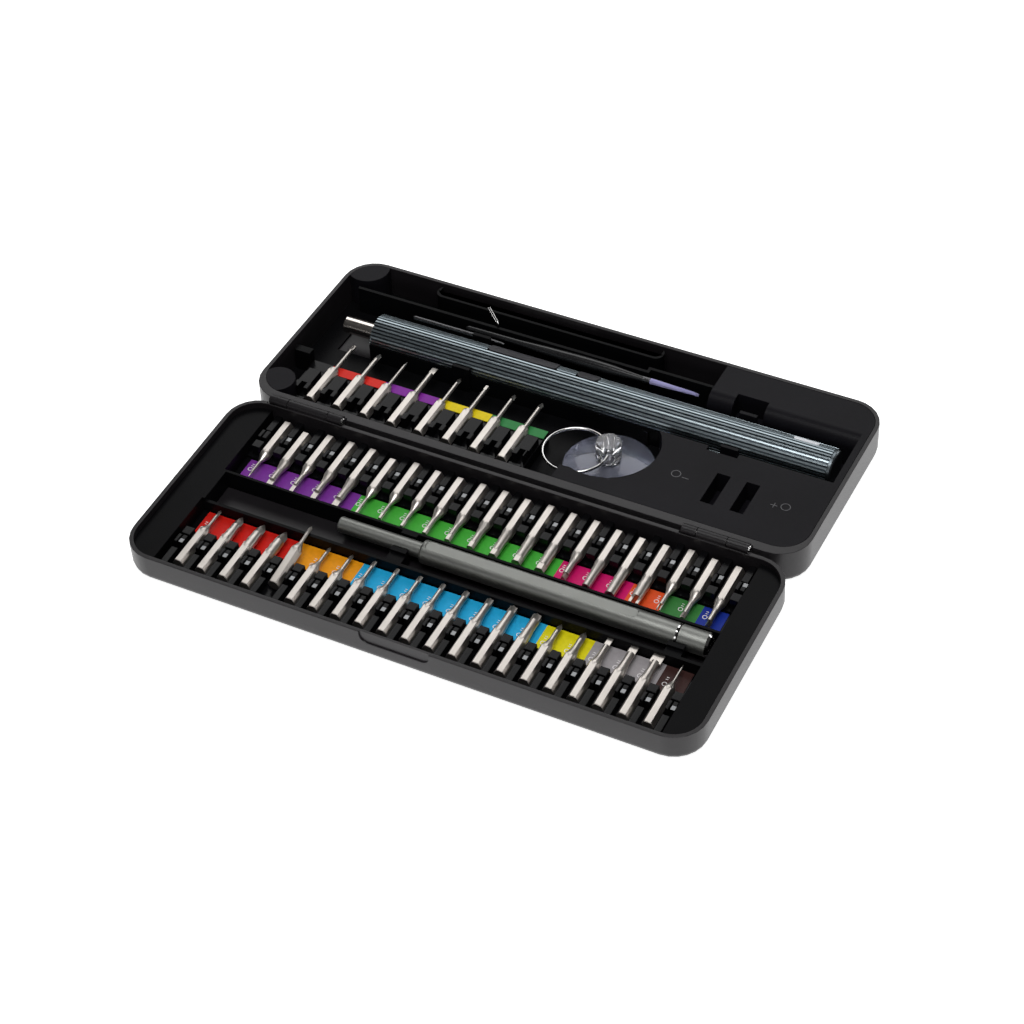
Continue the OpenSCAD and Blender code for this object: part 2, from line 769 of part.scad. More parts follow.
rear_shell();
rear_tray();
long_rack();
long_label();
long_bits_red();
long_bits_purple();
long_bits_yellow();
long_bit_green();
utility_block();
magnetiser_magnet();
demagnetiser_magnet();
rear_closure_magnets();
corner_pads();
hinge_pins();
driver_body();
driver_tail();
driver_chuck();
chuck_magnet();
rocker_button();
light_button();
charge_indicator();
driver_motor();
driver_battery();
driver_board();
pen_barrel();
pen_nose();
pen_collar();
pen_cap();
pen_swivel_pin();
suction_cup();
suction_knob();
key_ring();
brush_handle();
brush_ferrule();
brush_bristles();
pry_tool_ends();
pry_tool_rod();
tray_pin();
hook_probe();
front_shell();
front_insert();
hinge_row_rack();
front_row_rack();
hinge_row_label();
front_row_label();
front_closure_magnets();
short_bits_purple();
short_bits_green();
short_bits_magenta();
short_bits_orange();
short_bit_dark_green();
short_bit_blue();
short_bits_red();
short_bits_amber();
short_bit_loose();
short_bits_cyan();
short_bits_yellow();
short_bits_grey();
short_bit_brown();
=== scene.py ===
"""Looks of the precision screwdriver set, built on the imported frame.

Each sub-assembly of the set is a class that holds its sizes and builds and dresses its pieces.
Sizes in the classes are in millimetres, and every finished mesh is in metres.
"""

import logging
import math
from dataclasses import dataclass, field
from enum import Enum
from typing import Callable, Iterable, Iterator, Sequence

import bmesh
import bpy
from mathutils import Matrix, Vector


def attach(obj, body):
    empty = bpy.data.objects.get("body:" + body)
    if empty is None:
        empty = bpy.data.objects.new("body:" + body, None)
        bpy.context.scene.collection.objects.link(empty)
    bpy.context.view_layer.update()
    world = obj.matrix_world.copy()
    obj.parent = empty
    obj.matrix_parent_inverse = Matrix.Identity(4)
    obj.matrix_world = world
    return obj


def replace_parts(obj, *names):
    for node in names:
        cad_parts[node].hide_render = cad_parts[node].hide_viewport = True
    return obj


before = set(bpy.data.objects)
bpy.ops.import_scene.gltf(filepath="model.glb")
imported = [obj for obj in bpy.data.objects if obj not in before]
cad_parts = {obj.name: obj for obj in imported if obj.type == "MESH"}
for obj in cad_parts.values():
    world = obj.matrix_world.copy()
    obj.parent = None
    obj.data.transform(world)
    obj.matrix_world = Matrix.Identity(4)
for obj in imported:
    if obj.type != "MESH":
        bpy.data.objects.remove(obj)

LOG = logging.getLogger("driver_set")
MM = 0.001
WHITE = (1.0, 1.0, 1.0)
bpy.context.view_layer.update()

Colour = tuple[float, float, float]
Place = tuple[float, float, float]
Profile = Sequence[tuple[float, float]]


# ---------------------------------------------------------------- frames of the two halves
@dataclass(frozen=True)
class CaseDatum:
    """Datum sizes that place everything in the two halves of the case."""

    rear_depth: float = 14.0
    front_depth: float = 11.3
    reach: float = 86.35
    edge_round: float = 3.0
    rim_lift: float = 0.15

    @property
    def droop(self) -> float:
        """Angle that the open shallow half leans by, in radians."""
        return math.asin((self.rear_depth - self.front_depth) / (self.reach - self.edge_round))

    @property
    def hinge_y(self) -> float:
        """Place of the hinge line along Y."""
        return (math.cos(self.droop) - 1) * self.reach / 2

    def deep(self, x: float, y: float, depth: float) -> Matrix:
        """Frame at a point of the deep half, at a depth below its rim."""
        return Matrix.Translation((x, self.hinge_y + y, self.rear_depth - depth))

    def shallow(self, x: float, span: float, depth: float) -> Matrix:
        """Frame at a point of the shallow half, a span away from the hinge."""
        hinge = Matrix.Translation((0, self.hinge_y, self.rear_depth + self.rim_lift))
        local = Matrix.Translation((x, -span, -self.rim_lift - depth))
        return hinge @ Matrix.Rotation(self.droop, 4, "X") @ local


DATUM = CaseDatum()
ALONG_X = Matrix.Rotation(math.pi / 2, 4, "Y")
TO_REAR = Matrix.Rotation(-math.pi / 2, 4, "X")
TO_FRONT = Matrix.Rotation(math.pi / 2, 4, "X")


# ---------------------------------------------------------------- material building
class Painter:
    """Lays out the nodes of one material."""

    def __init__(self, name: str) -> None:
        """Start a material with a Principled shader.

        Args:
            name: name of the material.
        """
        self.material = bpy.data.materials.new(name)
        self.material.use_nodes = True
        self.tree = self.material.node_tree
        self.shader = self.tree.nodes["Principled BSDF"]
        self.place = self.add("ShaderNodeTexCoord").outputs["Object"]

    def add(self, kind: str, **props: object) -> bpy.types.Node:
        """Add a node and set its properties."""
        node = self.tree.nodes.new(kind)
        for key, value in props.items():
            setattr(node, key, value)
        return node

    def plug(self, source: bpy.types.NodeSocket, node: bpy.types.Node, socket: str | int) -> None:
        """Link a socket into a node's input."""
        self.tree.links.new(source, node.inputs[socket])

    def stretched(self, stretch: Colour) -> bpy.types.NodeSocket:
        """Object coordinates scaled along each axis."""
        node = self.add("ShaderNodeMapping")
        node.inputs["Scale"].default_value = stretch
        self.plug(self.place, node, "Vector")
        return node.outputs["Vector"]

    def noise(self, scale: float, detail: float = 3.0,
              stretch: Colour = (1, 1, 1)) -> bpy.types.NodeSocket:
        """Noise value over the piece.

        Args:
            scale: cells per metre.
            detail: number of octaves.
            stretch: scale of each axis, for streaks.

        Returns:
            The noise factor socket.
        """
        node = self.add("ShaderNodeTexNoise")
        node.inputs["Scale"].default_value = scale
        node.inputs["Detail"].default_value = detail
        self.plug(self.stretched(stretch), node, "Vector")
        return node.outputs["Fac"]

    def ramp(self, value: bpy.types.NodeSocket, stops: Iterable[tuple[float, Colour]],
             stepped: bool = False) -> bpy.types.NodeSocket:
        """Colour ramp of a value.

        Args:
            value: what drives the ramp.
            stops: position and colour of each stop.
            stepped: whether colours change at once.

        Returns:
            The colour socket.
        """
        node = self.add("ShaderNodeValToRGB")
        ramp = node.color_ramp
        ramp.interpolation = "CONSTANT" if stepped else "LINEAR"
        listed = list(stops)
        while len(ramp.elements) < len(listed):
            ramp.elements.new(1.0)
        for element, (at, colour) in zip(ramp.elements, listed):
            element.position = at
            element.color = (*colour, 1.0)
        self.plug(value, node, "Fac")
        return node.outputs["Color"]

    def span(self, value: bpy.types.NodeSocket, low: float, high: float, to_low: float = 0.0,
             to_high: float = 1.0) -> bpy.types.NodeSocket:
        """Map a value from one range to another."""
        node = self.add("ShaderNodeMapRange")
        ends = {"From Min": low, "From Max": high, "To Min": to_low, "To Max": to_high}
        for socket, number in ends.items():
            node.inputs[socket].default_value = number
        self.plug(value, node, "Value")
        return node.outputs["Result"]

    def blend(self, amount: float, first: bpy.types.NodeSocket, second: bpy.types.NodeSocket,
              how: str = "MIX") -> bpy.types.NodeSocket:
        """Mix two colours by a fixed amount."""
        node = self.add("ShaderNodeMix", data_type="RGBA", blend_type=how)
        node.inputs["Factor"].default_value = amount
        self.plug(first, node, 6)
        self.plug(second, node, 7)
        return node.outputs[2]

    def axis(self, letter: str) -> bpy.types.NodeSocket:
        """One object coordinate."""
        node = self.add("ShaderNodeSeparateXYZ")
        self.plug(self.place, node, "Vector")
        return node.outputs[letter]

    def bump(self, height: bpy.types.NodeSocket, strength: float, distance_mm: float) -> None:
        """Drive the shader's normal from a height."""
        node = self.add("ShaderNodeBump")
        node.inputs["Strength"].default_value = strength
        node.inputs["Distance"].default_value = distance_mm * MM
        self.plug(height, node, "Height")
        self.plug(node.outputs["Normal"], self.shader, "Normal")

    def roughness(self, value: bpy.types.NodeSocket, low: float, high: float) -> None:
        """Drive the shader's roughness from a noise."""
        self.plug(self.span(value, 0.3, 0.7, low, high), self.shader, "Roughness")

    def set(self, **values: object) -> None:
        """Set fixed shader inputs, with underscores for spaces."""
        for key, value in values.items():
            self.shader.inputs[key.replace("_", " ")].default_value = value


def shade(colour: Colour, factor: float) -> Colour:
    """A lighter or darker version of a colour."""
    return tuple(min(1.0, c * factor) for c in colour)


@dataclass(frozen=True)
class Moulded:
    """Injection-moulded plastic with a fine texture."""

    name: str
    colour: Colour
    rough: float = 0.42
    grain_per_m: float = 3200.0
    grain: float = 0.25
    specular: float = 0.42

    def make(self) -> bpy.types.Material:
        """Build the material."""
        paint = Painter(self.name)
        cloud = paint.noise(45.0, 4.0)
        tones = [(0.3, shade(self.colour, 0.82)), (0.7, shade(self.colour, 1.2))]
        paint.plug(paint.ramp(cloud, tones), paint.shader, "Base Color")
        fine = paint.noise(self.grain_per_m, 2.0)
        paint.roughness(fine, self.rough - 0.06, self.rough + 0.07)
        paint.bump(fine, self.grain, 0.03)
        paint.set(Specular_IOR_Level=self.specular)
        return paint.material


@dataclass(frozen=True)
class Metal:
    """Metal with fine streaks along one direction."""

    name: str
    colour: Colour
    rough: float = 0.25
    streaks: Colour = (1.0, 1.0, 1.0)
    streak_per_m: float = 1800.0
    contrast: float = 0.12
    depth: float = 0.08
    metallic: float = 1.0

    def make(self) -> bpy.types.Material:
        """Build the material."""
        paint = Painter(self.name)
        streak = paint.noise(self.streak_per_m, 3.0, self.streaks)
        stain = paint.noise(120.0, 5.0)
        low, high = shade(self.colour, 1 - self.contrast), shade(self.colour, 1 + self.contrast)
        base = paint.ramp(streak, [(0.3, low), (0.7, high)])
        dull = paint.ramp(stain, [(0.35, shade(self.colour, 0.9)), (0.65, shade(self.colour, 1.06))])
        paint.plug(paint.blend(0.4, base, dull), paint.shader, "Base Color")
        paint.roughness(streak, self.rough - 0.05, self.rough + 0.08)
        paint.bump(streak, self.depth, 0.02)
        paint.set(Metallic=self.metallic)
        return paint.material


@dataclass(frozen=True)
class Ribbed:
    """Anodised metal round an axis along X, with painted shade that darkens it down in its grooves."""

    name: str
    crest: Colour
    painted_groove_shade: Colour
    axis_y: float
    axis_z: float
    groove_r: float
    crest_r: float
    rough: float = 0.3

    def make(self) -> bpy.types.Material:
        """Build the material."""
        paint = Painter(self.name)
        shift = paint.add("ShaderNodeMapping")
        shift.inputs["Location"].default_value = (0, -self.axis_y * MM, -self.axis_z * MM)
        paint.plug(paint.place, shift, "Vector")
        flat = paint.add("ShaderNodeVectorMath", operation="MULTIPLY")
        flat.inputs[1].default_value = (0, 1, 1)
        paint.plug(shift.outputs["Vector"], flat, 0)
        radius = paint.add("ShaderNodeVectorMath", operation="LENGTH")
        paint.plug(flat.outputs[0], radius, 0)
        height = paint.span(radius.outputs["Value"], self.groove_r * MM, self.crest_r * MM)
        # Painted shade: the colour runs from the crest colour down to a much darker colour in the
        # grooves, standing in for the shade there.
        shaded_tone = paint.ramp(height, [(0.25, self.painted_groove_shade), (0.75, self.crest)])
        grain = paint.noise(1600.0, 3.0, (0.2, 3.0, 3.0))
        dull = paint.ramp(grain, [(0.3, (0.93, 0.93, 0.93)), (0.7, WHITE)])
        paint.plug(paint.blend(1.0, shaded_tone, dull, "MULTIPLY"), paint.shader, "Base Color")
        paint.roughness(grain, self.rough - 0.04, self.rough + 0.06)
        paint.set(Metallic=1.0)
        return paint.material


@dataclass(frozen=True)
class Clear:
    """Clear soft plastic with a faint tint."""

    name: str
    colour: Colour
    rough: float = 0.06
    ior: float = 1.42
    transmission: float = 0.95

    def make(self) -> bpy.types.Material:
        """Build the material."""
        paint = Painter(self.name)
        haze = paint.noise(70.0, 3.0)
        paint.plug(paint.ramp(haze, [(0.3, self.colour), (0.7, shade(self.colour, 1.1))]),
                   paint.shader, "Base Color")
        paint.roughness(haze, self.rough * 0.6, self.rough * 1.6)
        paint.set(IOR=self.ior, Transmission_Weight=self.transmission, Alpha=1.0)
        return paint.material


@dataclass(frozen=True)
class Strip:
    """Printed strip whose colour zones follow one another along X."""

    name: str
    start: float
    end: float
    zones: tuple[tuple[float, Colour], ...]

    def make(self) -> bpy.types.Material:
        """Build the material."""
        paint = Painter(self.name)
        along = paint.span(paint.axis("X"), self.start * MM, self.end * MM)
        total = self.end - self.start
        stops = [((x - self.start) / total, colour) for x, colour in self.zones]
        colours = paint.ramp(along, stops, stepped=True)
        print_grain = paint.ramp(paint.noise(900.0, 4.0), [(0.3, (0.86, 0.86, 0.86)), (0.7, WHITE)])
        paint.plug(paint.blend(0.8, colours, print_grain, "MULTIPLY"), paint.shader, "Base Color")
        paint.set(Roughness=0.38, Specular_IOR_Level=0.12)
        paint.bump(paint.noise(2200.0, 2.0), 0.08, 0.02)
        return paint.material


class Finish(Enum):
    """Every finish of the set."""

    SHELL = Moulded("case_shell_black", (0.012, 0.0105, 0.012), 0.36, 3200.0, 0.2, 0.34)
    TRAY = Moulded("tray_black", (0.003, 0.003, 0.0035), 0.32, 3200.0, 0.15, 0.05)
    RACK = Moulded("rack_black", (0.003, 0.003, 0.0035), 0.20, 2600.0, 0.1, 0.14)
    BLOCK = Moulded("block_black", (0.006, 0.0055, 0.0075), 0.40, 4200.0, 0.25, 0.09)
    RUBBER = Moulded("button_rubber", (0.028, 0.028, 0.032), 0.48, 5200.0, 0.3, 0.4)
    GLOSS_BLACK = Moulded("tool_black", (0.012, 0.012, 0.013), 0.22, 2400.0, 0.06, 0.5)
    WHITE_WINDOW = Moulded("charge_window_white", (0.78, 0.80, 0.86), 0.3, 3000.0, 0.05, 0.5)
    INK = Moulded("label_ink_white", (0.72, 0.70, 0.70), 0.45, 3000.0, 0.05, 0.3)
    SLOT_DARK = Moulded("engraving_dark", (0.05, 0.05, 0.056), 0.3, 3000.0, 0.1, 0.5)
    BOARD = Moulded("board_green", (0.02, 0.16, 0.07), 0.35, 1800.0, 0.3, 0.5)
    WRAP = Moulded("battery_wrap", (0.05, 0.16, 0.38), 0.3, 900.0, 0.1, 0.5)
    BIT = Metal("bit_steel", (0.60, 0.56, 0.52), 0.36, (3.0, 0.35, 3.0), 1100.0, 0.08, 0.05)
    CHUCK = Metal("chuck_steel", (0.80, 0.745, 0.69), 0.17, (6.0, 0.6, 0.6), 1500.0, 0.08, 0.05)
    # The driver's second colour is painted shade for the grooves between its ribs.
    ANODISED = Ribbed("driver_anodised", (0.36, 0.42, 0.45), (0.05, 0.06, 0.07), 54.177, 8.7,
                      7.08, 7.44)
    ANODISED_END = Metal("driver_end_anodised", (0.16, 0.185, 0.20), 0.34, (1.0, 1.0, 1.0), 1600.0,
                         0.1, 0.08)
    PEN = Metal("pen_anodised", (0.25, 0.255, 0.24), 0.42, (0.3, 2.0, 2.0), 2200.0, 0.06, 0.05)
    # Lighter grey for the posts' pads: a painted highlight, the glint of light on the rack posts.
    GLINT = Moulded("rack_painted_glint", (0.30, 0.31, 0.32), 0.3, 2600.0, 0.1, 0.5)
    BRIGHT = Metal("bright_plating", (0.84, 0.83, 0.82), 0.10, (1.0, 1.0, 1.0), 700.0, 0.04, 0.02)
    DARK_STEEL = Metal("dark_steel", (0.14, 0.14, 0.145), 0.28, (0.4, 2.0, 2.0), 1500.0, 0.15, 0.06)
    NICKEL = Metal("magnet_nickel", (0.62, 0.61, 0.58), 0.22, (1.0, 1.0, 1.0), 500.0, 0.06, 0.03)
    CUP = Clear("cup_clear", (0.74, 0.77, 0.98), 0.10, 1.46, 0.92)
    KNOB = Clear("knob_clear", (0.97, 0.97, 1.0), 0.03, 1.49)
    BRISTLE = Moulded("bristle_violet", (0.42, 0.40, 0.66), 0.35, 2000.0, 0.05, 0.5)
    LONG_STRIP = Strip("long_strip_print", -90.0, 2.0, (
        (-90.0, (0.75, 0.03, 0.02)), (-67.4, (0.25, 0.03, 0.36)), (-45.2, (0.85, 0.66, 0.01)),
        (-23.6, (0.04, 0.24, 0.07))))
    HINGE_STRIP = Strip("hinge_row_print", -94.0, 94.0, (
        (-94.0, (0.20, 0.035, 0.32)), (-47.5, (0.06, 0.42, 0.045)), (31.5, (0.62, 0.008, 0.14)),
        (57.8, (0.78, 0.09, 0.02)), (70.0, (0.04, 0.20, 0.045)), (83.0, (0.01, 0.03, 0.28))))
    FRONT_STRIP = Strip("front_row_print", -94.0, 94.0, (
        (-94.0, (0.62, 0.015, 0.01)), (-56.0, (0.86, 0.33, 0.01)), (-30.5, (0.02, 0.40, 0.72)),
        (39.0, (0.78, 0.70, 0.01)), (56.8, (0.34, 0.32, 0.33)), (82.9, (0.045, 0.02, 0.018))))


_made: dict[Finish, bpy.types.Material] = {}


def material(finish: Finish) -> bpy.types.Material:
    """The material of a finish, made once.

    Args:
        finish: which finish.

    Returns:
        The Blender material.
    """
    if finish not in _made:
        _made[finish] = finish.value.make()
    return _made[finish]


# ---------------------------------------------------------------- mesh building
def seal(bm: bmesh.types.BMesh, name: str, finish: Finish, body: str, slot: str,
         sharp_deg: float = 32.0) -> bpy.types.Object:
    """Turn a bmesh in millimetres into a finished piece in metres.

    Args:
        bm: the mesh, already in the set's frame.
        name: name of the piece.
        finish: its finish.
        body: CAD body that it moves with.
        slot: material slot of the record; not used.
        sharp_deg: edges that turn more than this stay crisp.

    Returns:
        The new object.
    """
    bmesh.ops.scale(bm, vec=(MM, MM, MM), verts=bm.verts)
    for face in bm.faces:
        face.smooth = True
    limit = math.radians(sharp_deg)
    for edge in bm.edges:
        edge.smooth = len(edge.link_faces) == 2 and edge.calc_face_angle(0.0) < limit
    mesh = bpy.data.meshes.new(name)
    bm.to_mesh(mesh)
    bm.free()
    mesh.materials.append(material(finish))
    piece = bpy.data.objects.new(name, mesh)
    bpy.context.scene.collection.objects.link(piece)
    even = piece.modifiers.new("even_shading", "WEIGHTED_NORMAL")
    even.keep_sharp = True
    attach(piece, body)
    return piece


def round_off(bm: bmesh.types.BMesh, edges: list[bmesh.types.BMEdge], size: float,
              segments: int = 2) -> None:
    """Round edges of a mesh off.

    Args:
        bm: the mesh.
        edges: which edges.
        size: size of the rounding.
        segments: steps of the rounding.
    """
    bmesh.ops.bevel(bm, geom=edges, offset=size, offset_type="OFFSET", affect="EDGES",
                    segments=segments, profile=0.5, material=-1, clamp_overlap=True)


def softened(node: str, finish: Finish, body: str, slot: str, width: float = 0.18,
             segments: int = 2) -> bpy.types.Object:
    """A copy of a CAD node with its outer edges slightly rounded, in place of the node.

    Args:
        node: CAD node to copy.
        finish: finish of the copy.
        body: CAD body that it moves with.
        slot: material slot of the record.
        width: size of the rounding, in millimetres.
        segments: steps of the rounding.

    Returns:
        The new object.
    """
    bm = bmesh.new()
    bm.from_mesh(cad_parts[node].data)
    bmesh.ops.scale(bm, vec=(1 / MM,) * 3, verts=bm.verts)
    bmesh.ops.remove_doubles(bm, verts=bm.verts, dist=0.002)
    bmesh.ops.dissolve_limit(bm, angle_limit=math.radians(0.8), verts=bm.verts, edges=bm.edges)
    edges = [e for e in bm.edges if len(e.link_faces) == 2 and e.is_convex
             and e.calc_face_angle(0.0) > math.radians(38) and e.calc_length() > 2.2 * width]
    if edges and width > 0:
        round_off(bm, edges, width, segments)
    piece = seal(bm, node + "_skin", finish, body, slot)
    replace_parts(piece, node)
    return piece


def turned(profile: Profile, steps: int = 40) -> bmesh.types.BMesh:
    """A solid turned about Z from a profile of (radius, height) points.

    Args:
        profile: points from one end of the axis to the other.
        steps: steps of the full turn.

    Returns:
        The mesh.
    """
    bm = bmesh.new()
    verts = [bm.verts.new((r, 0, z)) for r, z in profile]
    edges = [bm.edges.new(pair) for pair in zip(verts, verts[1:])]
    bmesh.ops.spin(bm, geom=verts + edges, cent=(0, 0, 0), axis=(0, 0, 1), angle=math.tau, steps=steps,
                   use_merge=True)
    bmesh.ops.remove_doubles(bm, verts=bm.verts, dist=1e-4)
    bmesh.ops.dissolve_degenerate(bm, dist=1e-5, edges=bm.edges)
    bmesh.ops.recalc_face_normals(bm, faces=bm.faces)
    return bm


def washer(inner: float, outer: float, thickness: float, steps: int) -> bmesh.types.BMesh:
    """A flat ring on the XY plane."""
    return turned([(inner, 0.0), (inner, thickness), (outer, thickness), (outer, 0.0), (inner, 0.0)],
                  steps)


def prism(radius: float, sides: int, length: float, end_scale: float = 1.0, inner: float = 1.0,
          turn: float = 0.0) -> bmesh.types.BMesh:
    """A prism along Z on a polygon or a star.

    Args:
        radius: outer radius.
        sides: number of corners.
        length: length along Z.
        end_scale: size of the far end against the near end.
        inner: radius of every second corner against the outer radius.
        turn: turn about Z, in degrees.

    Returns:
        The mesh.
    """
    bm = bmesh.new()
    made = bmesh.ops.create_circle(bm, cap_ends=True, segments=sides, radius=radius)
    for vert in made["verts"][1::2]:
        vert.co *= inner
    bmesh.ops.rotate(bm, verts=bm.verts, matrix=Matrix.Rotation(math.radians(turn), 3, "Z"))
    top = bmesh.ops.extrude_face_region(bm, geom=list(bm.faces))
    raised = [g for g in top["geom"] if isinstance(g, bmesh.types.BMVert)]
    bmesh.ops.translate(bm, vec=(0, 0, length), verts=raised)
    bmesh.ops.scale(bm, vec=(end_scale, end_scale, 1), verts=raised)
    bmesh.ops.recalc_face_normals(bm, faces=bm.faces)
    return bm


def block(size: Place, centre: Place, rounding: float = 0.0, segments: int = 2) -> bmesh.types.BMesh:
    """A box with rounded edges.

    Args:
        size: lengths along X, Y and Z.
        centre: its middle.
        rounding: edge rounding.
        segments: steps of the rounding.

    Returns:
        The mesh.
    """
    bm = bmesh.new()
    bmesh.ops.create_cube(bm, size=1.0)
    bmesh.ops.scale(bm, vec=size, verts=bm.verts)
    bmesh.ops.translate(bm, vec=centre, verts=bm.verts)
    if rounding > 0:
        round_off(bm, list(bm.edges), rounding, segments)
    return bm


def join(target: bmesh.types.BMesh, part: bmesh.types.BMesh,
         place: Matrix = Matrix.Identity(4)) -> None:
    """Move a part to its place and add it to a mesh.

    Args:
        target: mesh that grows.
        part: mesh to add; it is freed.
        place: where it goes, in millimetres.
    """
    bmesh.ops.transform(part, matrix=place, verts=part.verts)
    if place.determinant() < 0:
        bmesh.ops.reverse_faces(part, faces=part.faces)
    scratch = bpy.data.meshes.new("scratch")
    part.to_mesh(scratch)
    part.free()
    target.from_mesh(scratch)
    bpy.data.meshes.remove(scratch)


def placed(part: bmesh.types.BMesh, place: Matrix) -> bmesh.types.BMesh:
    """A part on its own, moved to its place."""
    bm = bmesh.new()
    join(bm, part, place)
    return bm


def stand_in(bm: bmesh.types.BMesh, name: str, finish: Finish, owner: tuple[str, str], node: str,
             sharp_deg: float = 32.0) -> bpy.types.Object:
    """Finish a mesh as the piece that is shown in place of a CAD node.

    Args:
        bm: the mesh, in millimetres and in the set's frame.
        name: name of the piece.
        finish: its finish.
        owner: CAD body that it moves with and material slot of the record.
        node: CAD node that it stands for.
        sharp_deg: edges that turn more than this stay crisp.

    Returns:
        The new object.
    """
    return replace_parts(seal(bm, name, finish, *owner, sharp_deg), node)


# ---------------------------------------------------------------- bits
class Tip(Enum):
    """Drive shapes of the bit tips."""

    NEEDLE = "needle"
    CROSS = "cross"
    FLAT = "flat"
    STAR = "star"
    HEX = "hex"
    TRI = "tri"
    FORK = "fork"
    SPOON = "spoon"
    PENTA = "penta"
    SOCKET = "socket"


@dataclass
class Bit:
    """One driver bit, drawn along +Z from its shank end."""

    tip: Tip
    tip_r: float
    length: float = 28.4
    shank: float = 16.6
    taper: float = 4.2
    hex_r: float = 2.309
    turn: float = 30.0
    end_rounding: float = 0.38
    side_rounding: float = 0.12

    @property
    def tip_length(self) -> float:
        """Length of the working end."""
        if self.tip is Tip.CROSS:
            return 2.0 + 1.6 * self.tip_r
        return 3.4 if self.tip is Tip.NEEDLE else 2.6

    def tip_parts(self) -> list[bmesh.types.BMesh]:
        """Meshes of the working end, starting where the shaft ends."""
        r = self.tip_r
        if self.tip is Tip.NEEDLE:
            return [turned([(0, 0), (r, 0), (r * 0.9, 1.2), (r * 0.25, 3.4), (0, 3.6)], 20)]
        if self.tip is Tip.CROSS:
            body = self.tip_length - 1.5 * r
            point = self.raised(prism(r * 1.08, 8, 1.5 * r, 0.14, 0.6, 0), body)
            return [prism(r, 8, body, 1.08, 0.6, 0), point]
        if self.tip is Tip.STAR:
            return [prism(r * 1.08, 12, 2.6, 0.96, 0.78, 0)]
        if self.tip is Tip.PENTA:
            return [prism(r * 1.08, 10, 2.4, 0.95, 0.76, 0)]
        if self.tip is Tip.HEX:
            return [prism(r * 1.08, 6, 2.6, 0.97, 1.0, 30)]
        if self.tip is Tip.TRI:
            return [prism(r * 1.15, 6, 2.3, 0.9, 0.5, 0)]
        if self.tip is Tip.FORK:
            prong = (0.55 * r, 0.5 * r + 0.3, 2.6)
            return [block(prong, (side * 0.68 * r, 0, 1.3), 0.12) for side in (-1, 1)]
        if self.tip is Tip.SOCKET:
            return [turned([(0, 0.2), (r * 0.55, 0.2), (r * 0.55, 2.2), (r, 2.2), (r, 0), (0, 0)], 24)]
        width = 2 * r if self.tip is Tip.FLAT else 1.7 * r
        blade = block((width, 0.75, 4.2), (0, 0, 1.6), 0.1)
        for vert in blade.verts:
            if vert.co.z > 2.0:
                vert.co.y *= 0.5
        return [blade]

    @staticmethod
    def raised(part: bmesh.types.BMesh, height: float) -> bmesh.types.BMesh:
        """Lift a part along Z."""
        bmesh.ops.translate(part, vec=(0, 0, height), verts=part.verts)
        return part

    def build(self) -> bmesh.types.BMesh:
        """The whole bit.

        Returns:
            The mesh, in millimetres.
        """
        bm = prism(self.hex_r, 6, self.shank, 1.0, 1.0, self.turn)
        ends = [f for f in bm.faces if abs(f.normal.z) > 0.9]
        rim = {e for f in ends for e in f.edges}
        round_off(bm, list(rim), self.end_rounding)
        sides = [e for e in bm.edges if e.calc_length() > self.shank * 0.7]
        round_off(bm, sides, self.side_rounding)
        neck = self.shank + self.taper
        shaft_end = self.length - self.tip_length
        r = min(max(self.tip_r, 0.8), 1.35) if self.tip is Tip.FLAT else min(self.tip_r * 1.02, 2.0)
        profile = [(0, self.shank - 1.2), (2.02, self.shank - 1.2), (2.12, self.shank - 0.2),
                   (2.02, self.shank + 0.7), ((2.0 + r) * 0.5, self.shank + 0.52 * self.taper),
                   (r * 1.12, neck - 0.4), (r, neck + 0.5), (r, shaft_end), (0, shaft_end)]
        join(bm, turned(profile, 28))
        for part in self.tip_parts():
            join(bm, part, Matrix.Translation((0, 0, shaft_end - 0.02)))
        return bm


@dataclass
class BitSet:
    """Bits that share a CAD node: the places and the shapes of each."""

    node: str
    body: str
    bits: Sequence[tuple[Matrix, Bit]]

    def build(self) -> bpy.types.Object:
        """Build the bits as one piece that stands for the node."""
        bm = bmesh.new()
        for place, bit in self.bits:
            join(bm, bit.build(), place)
        return stand_in(bm, self.node + "_steel", Finish.BIT, (self.body, "bit_steel"), self.node, 28.0)


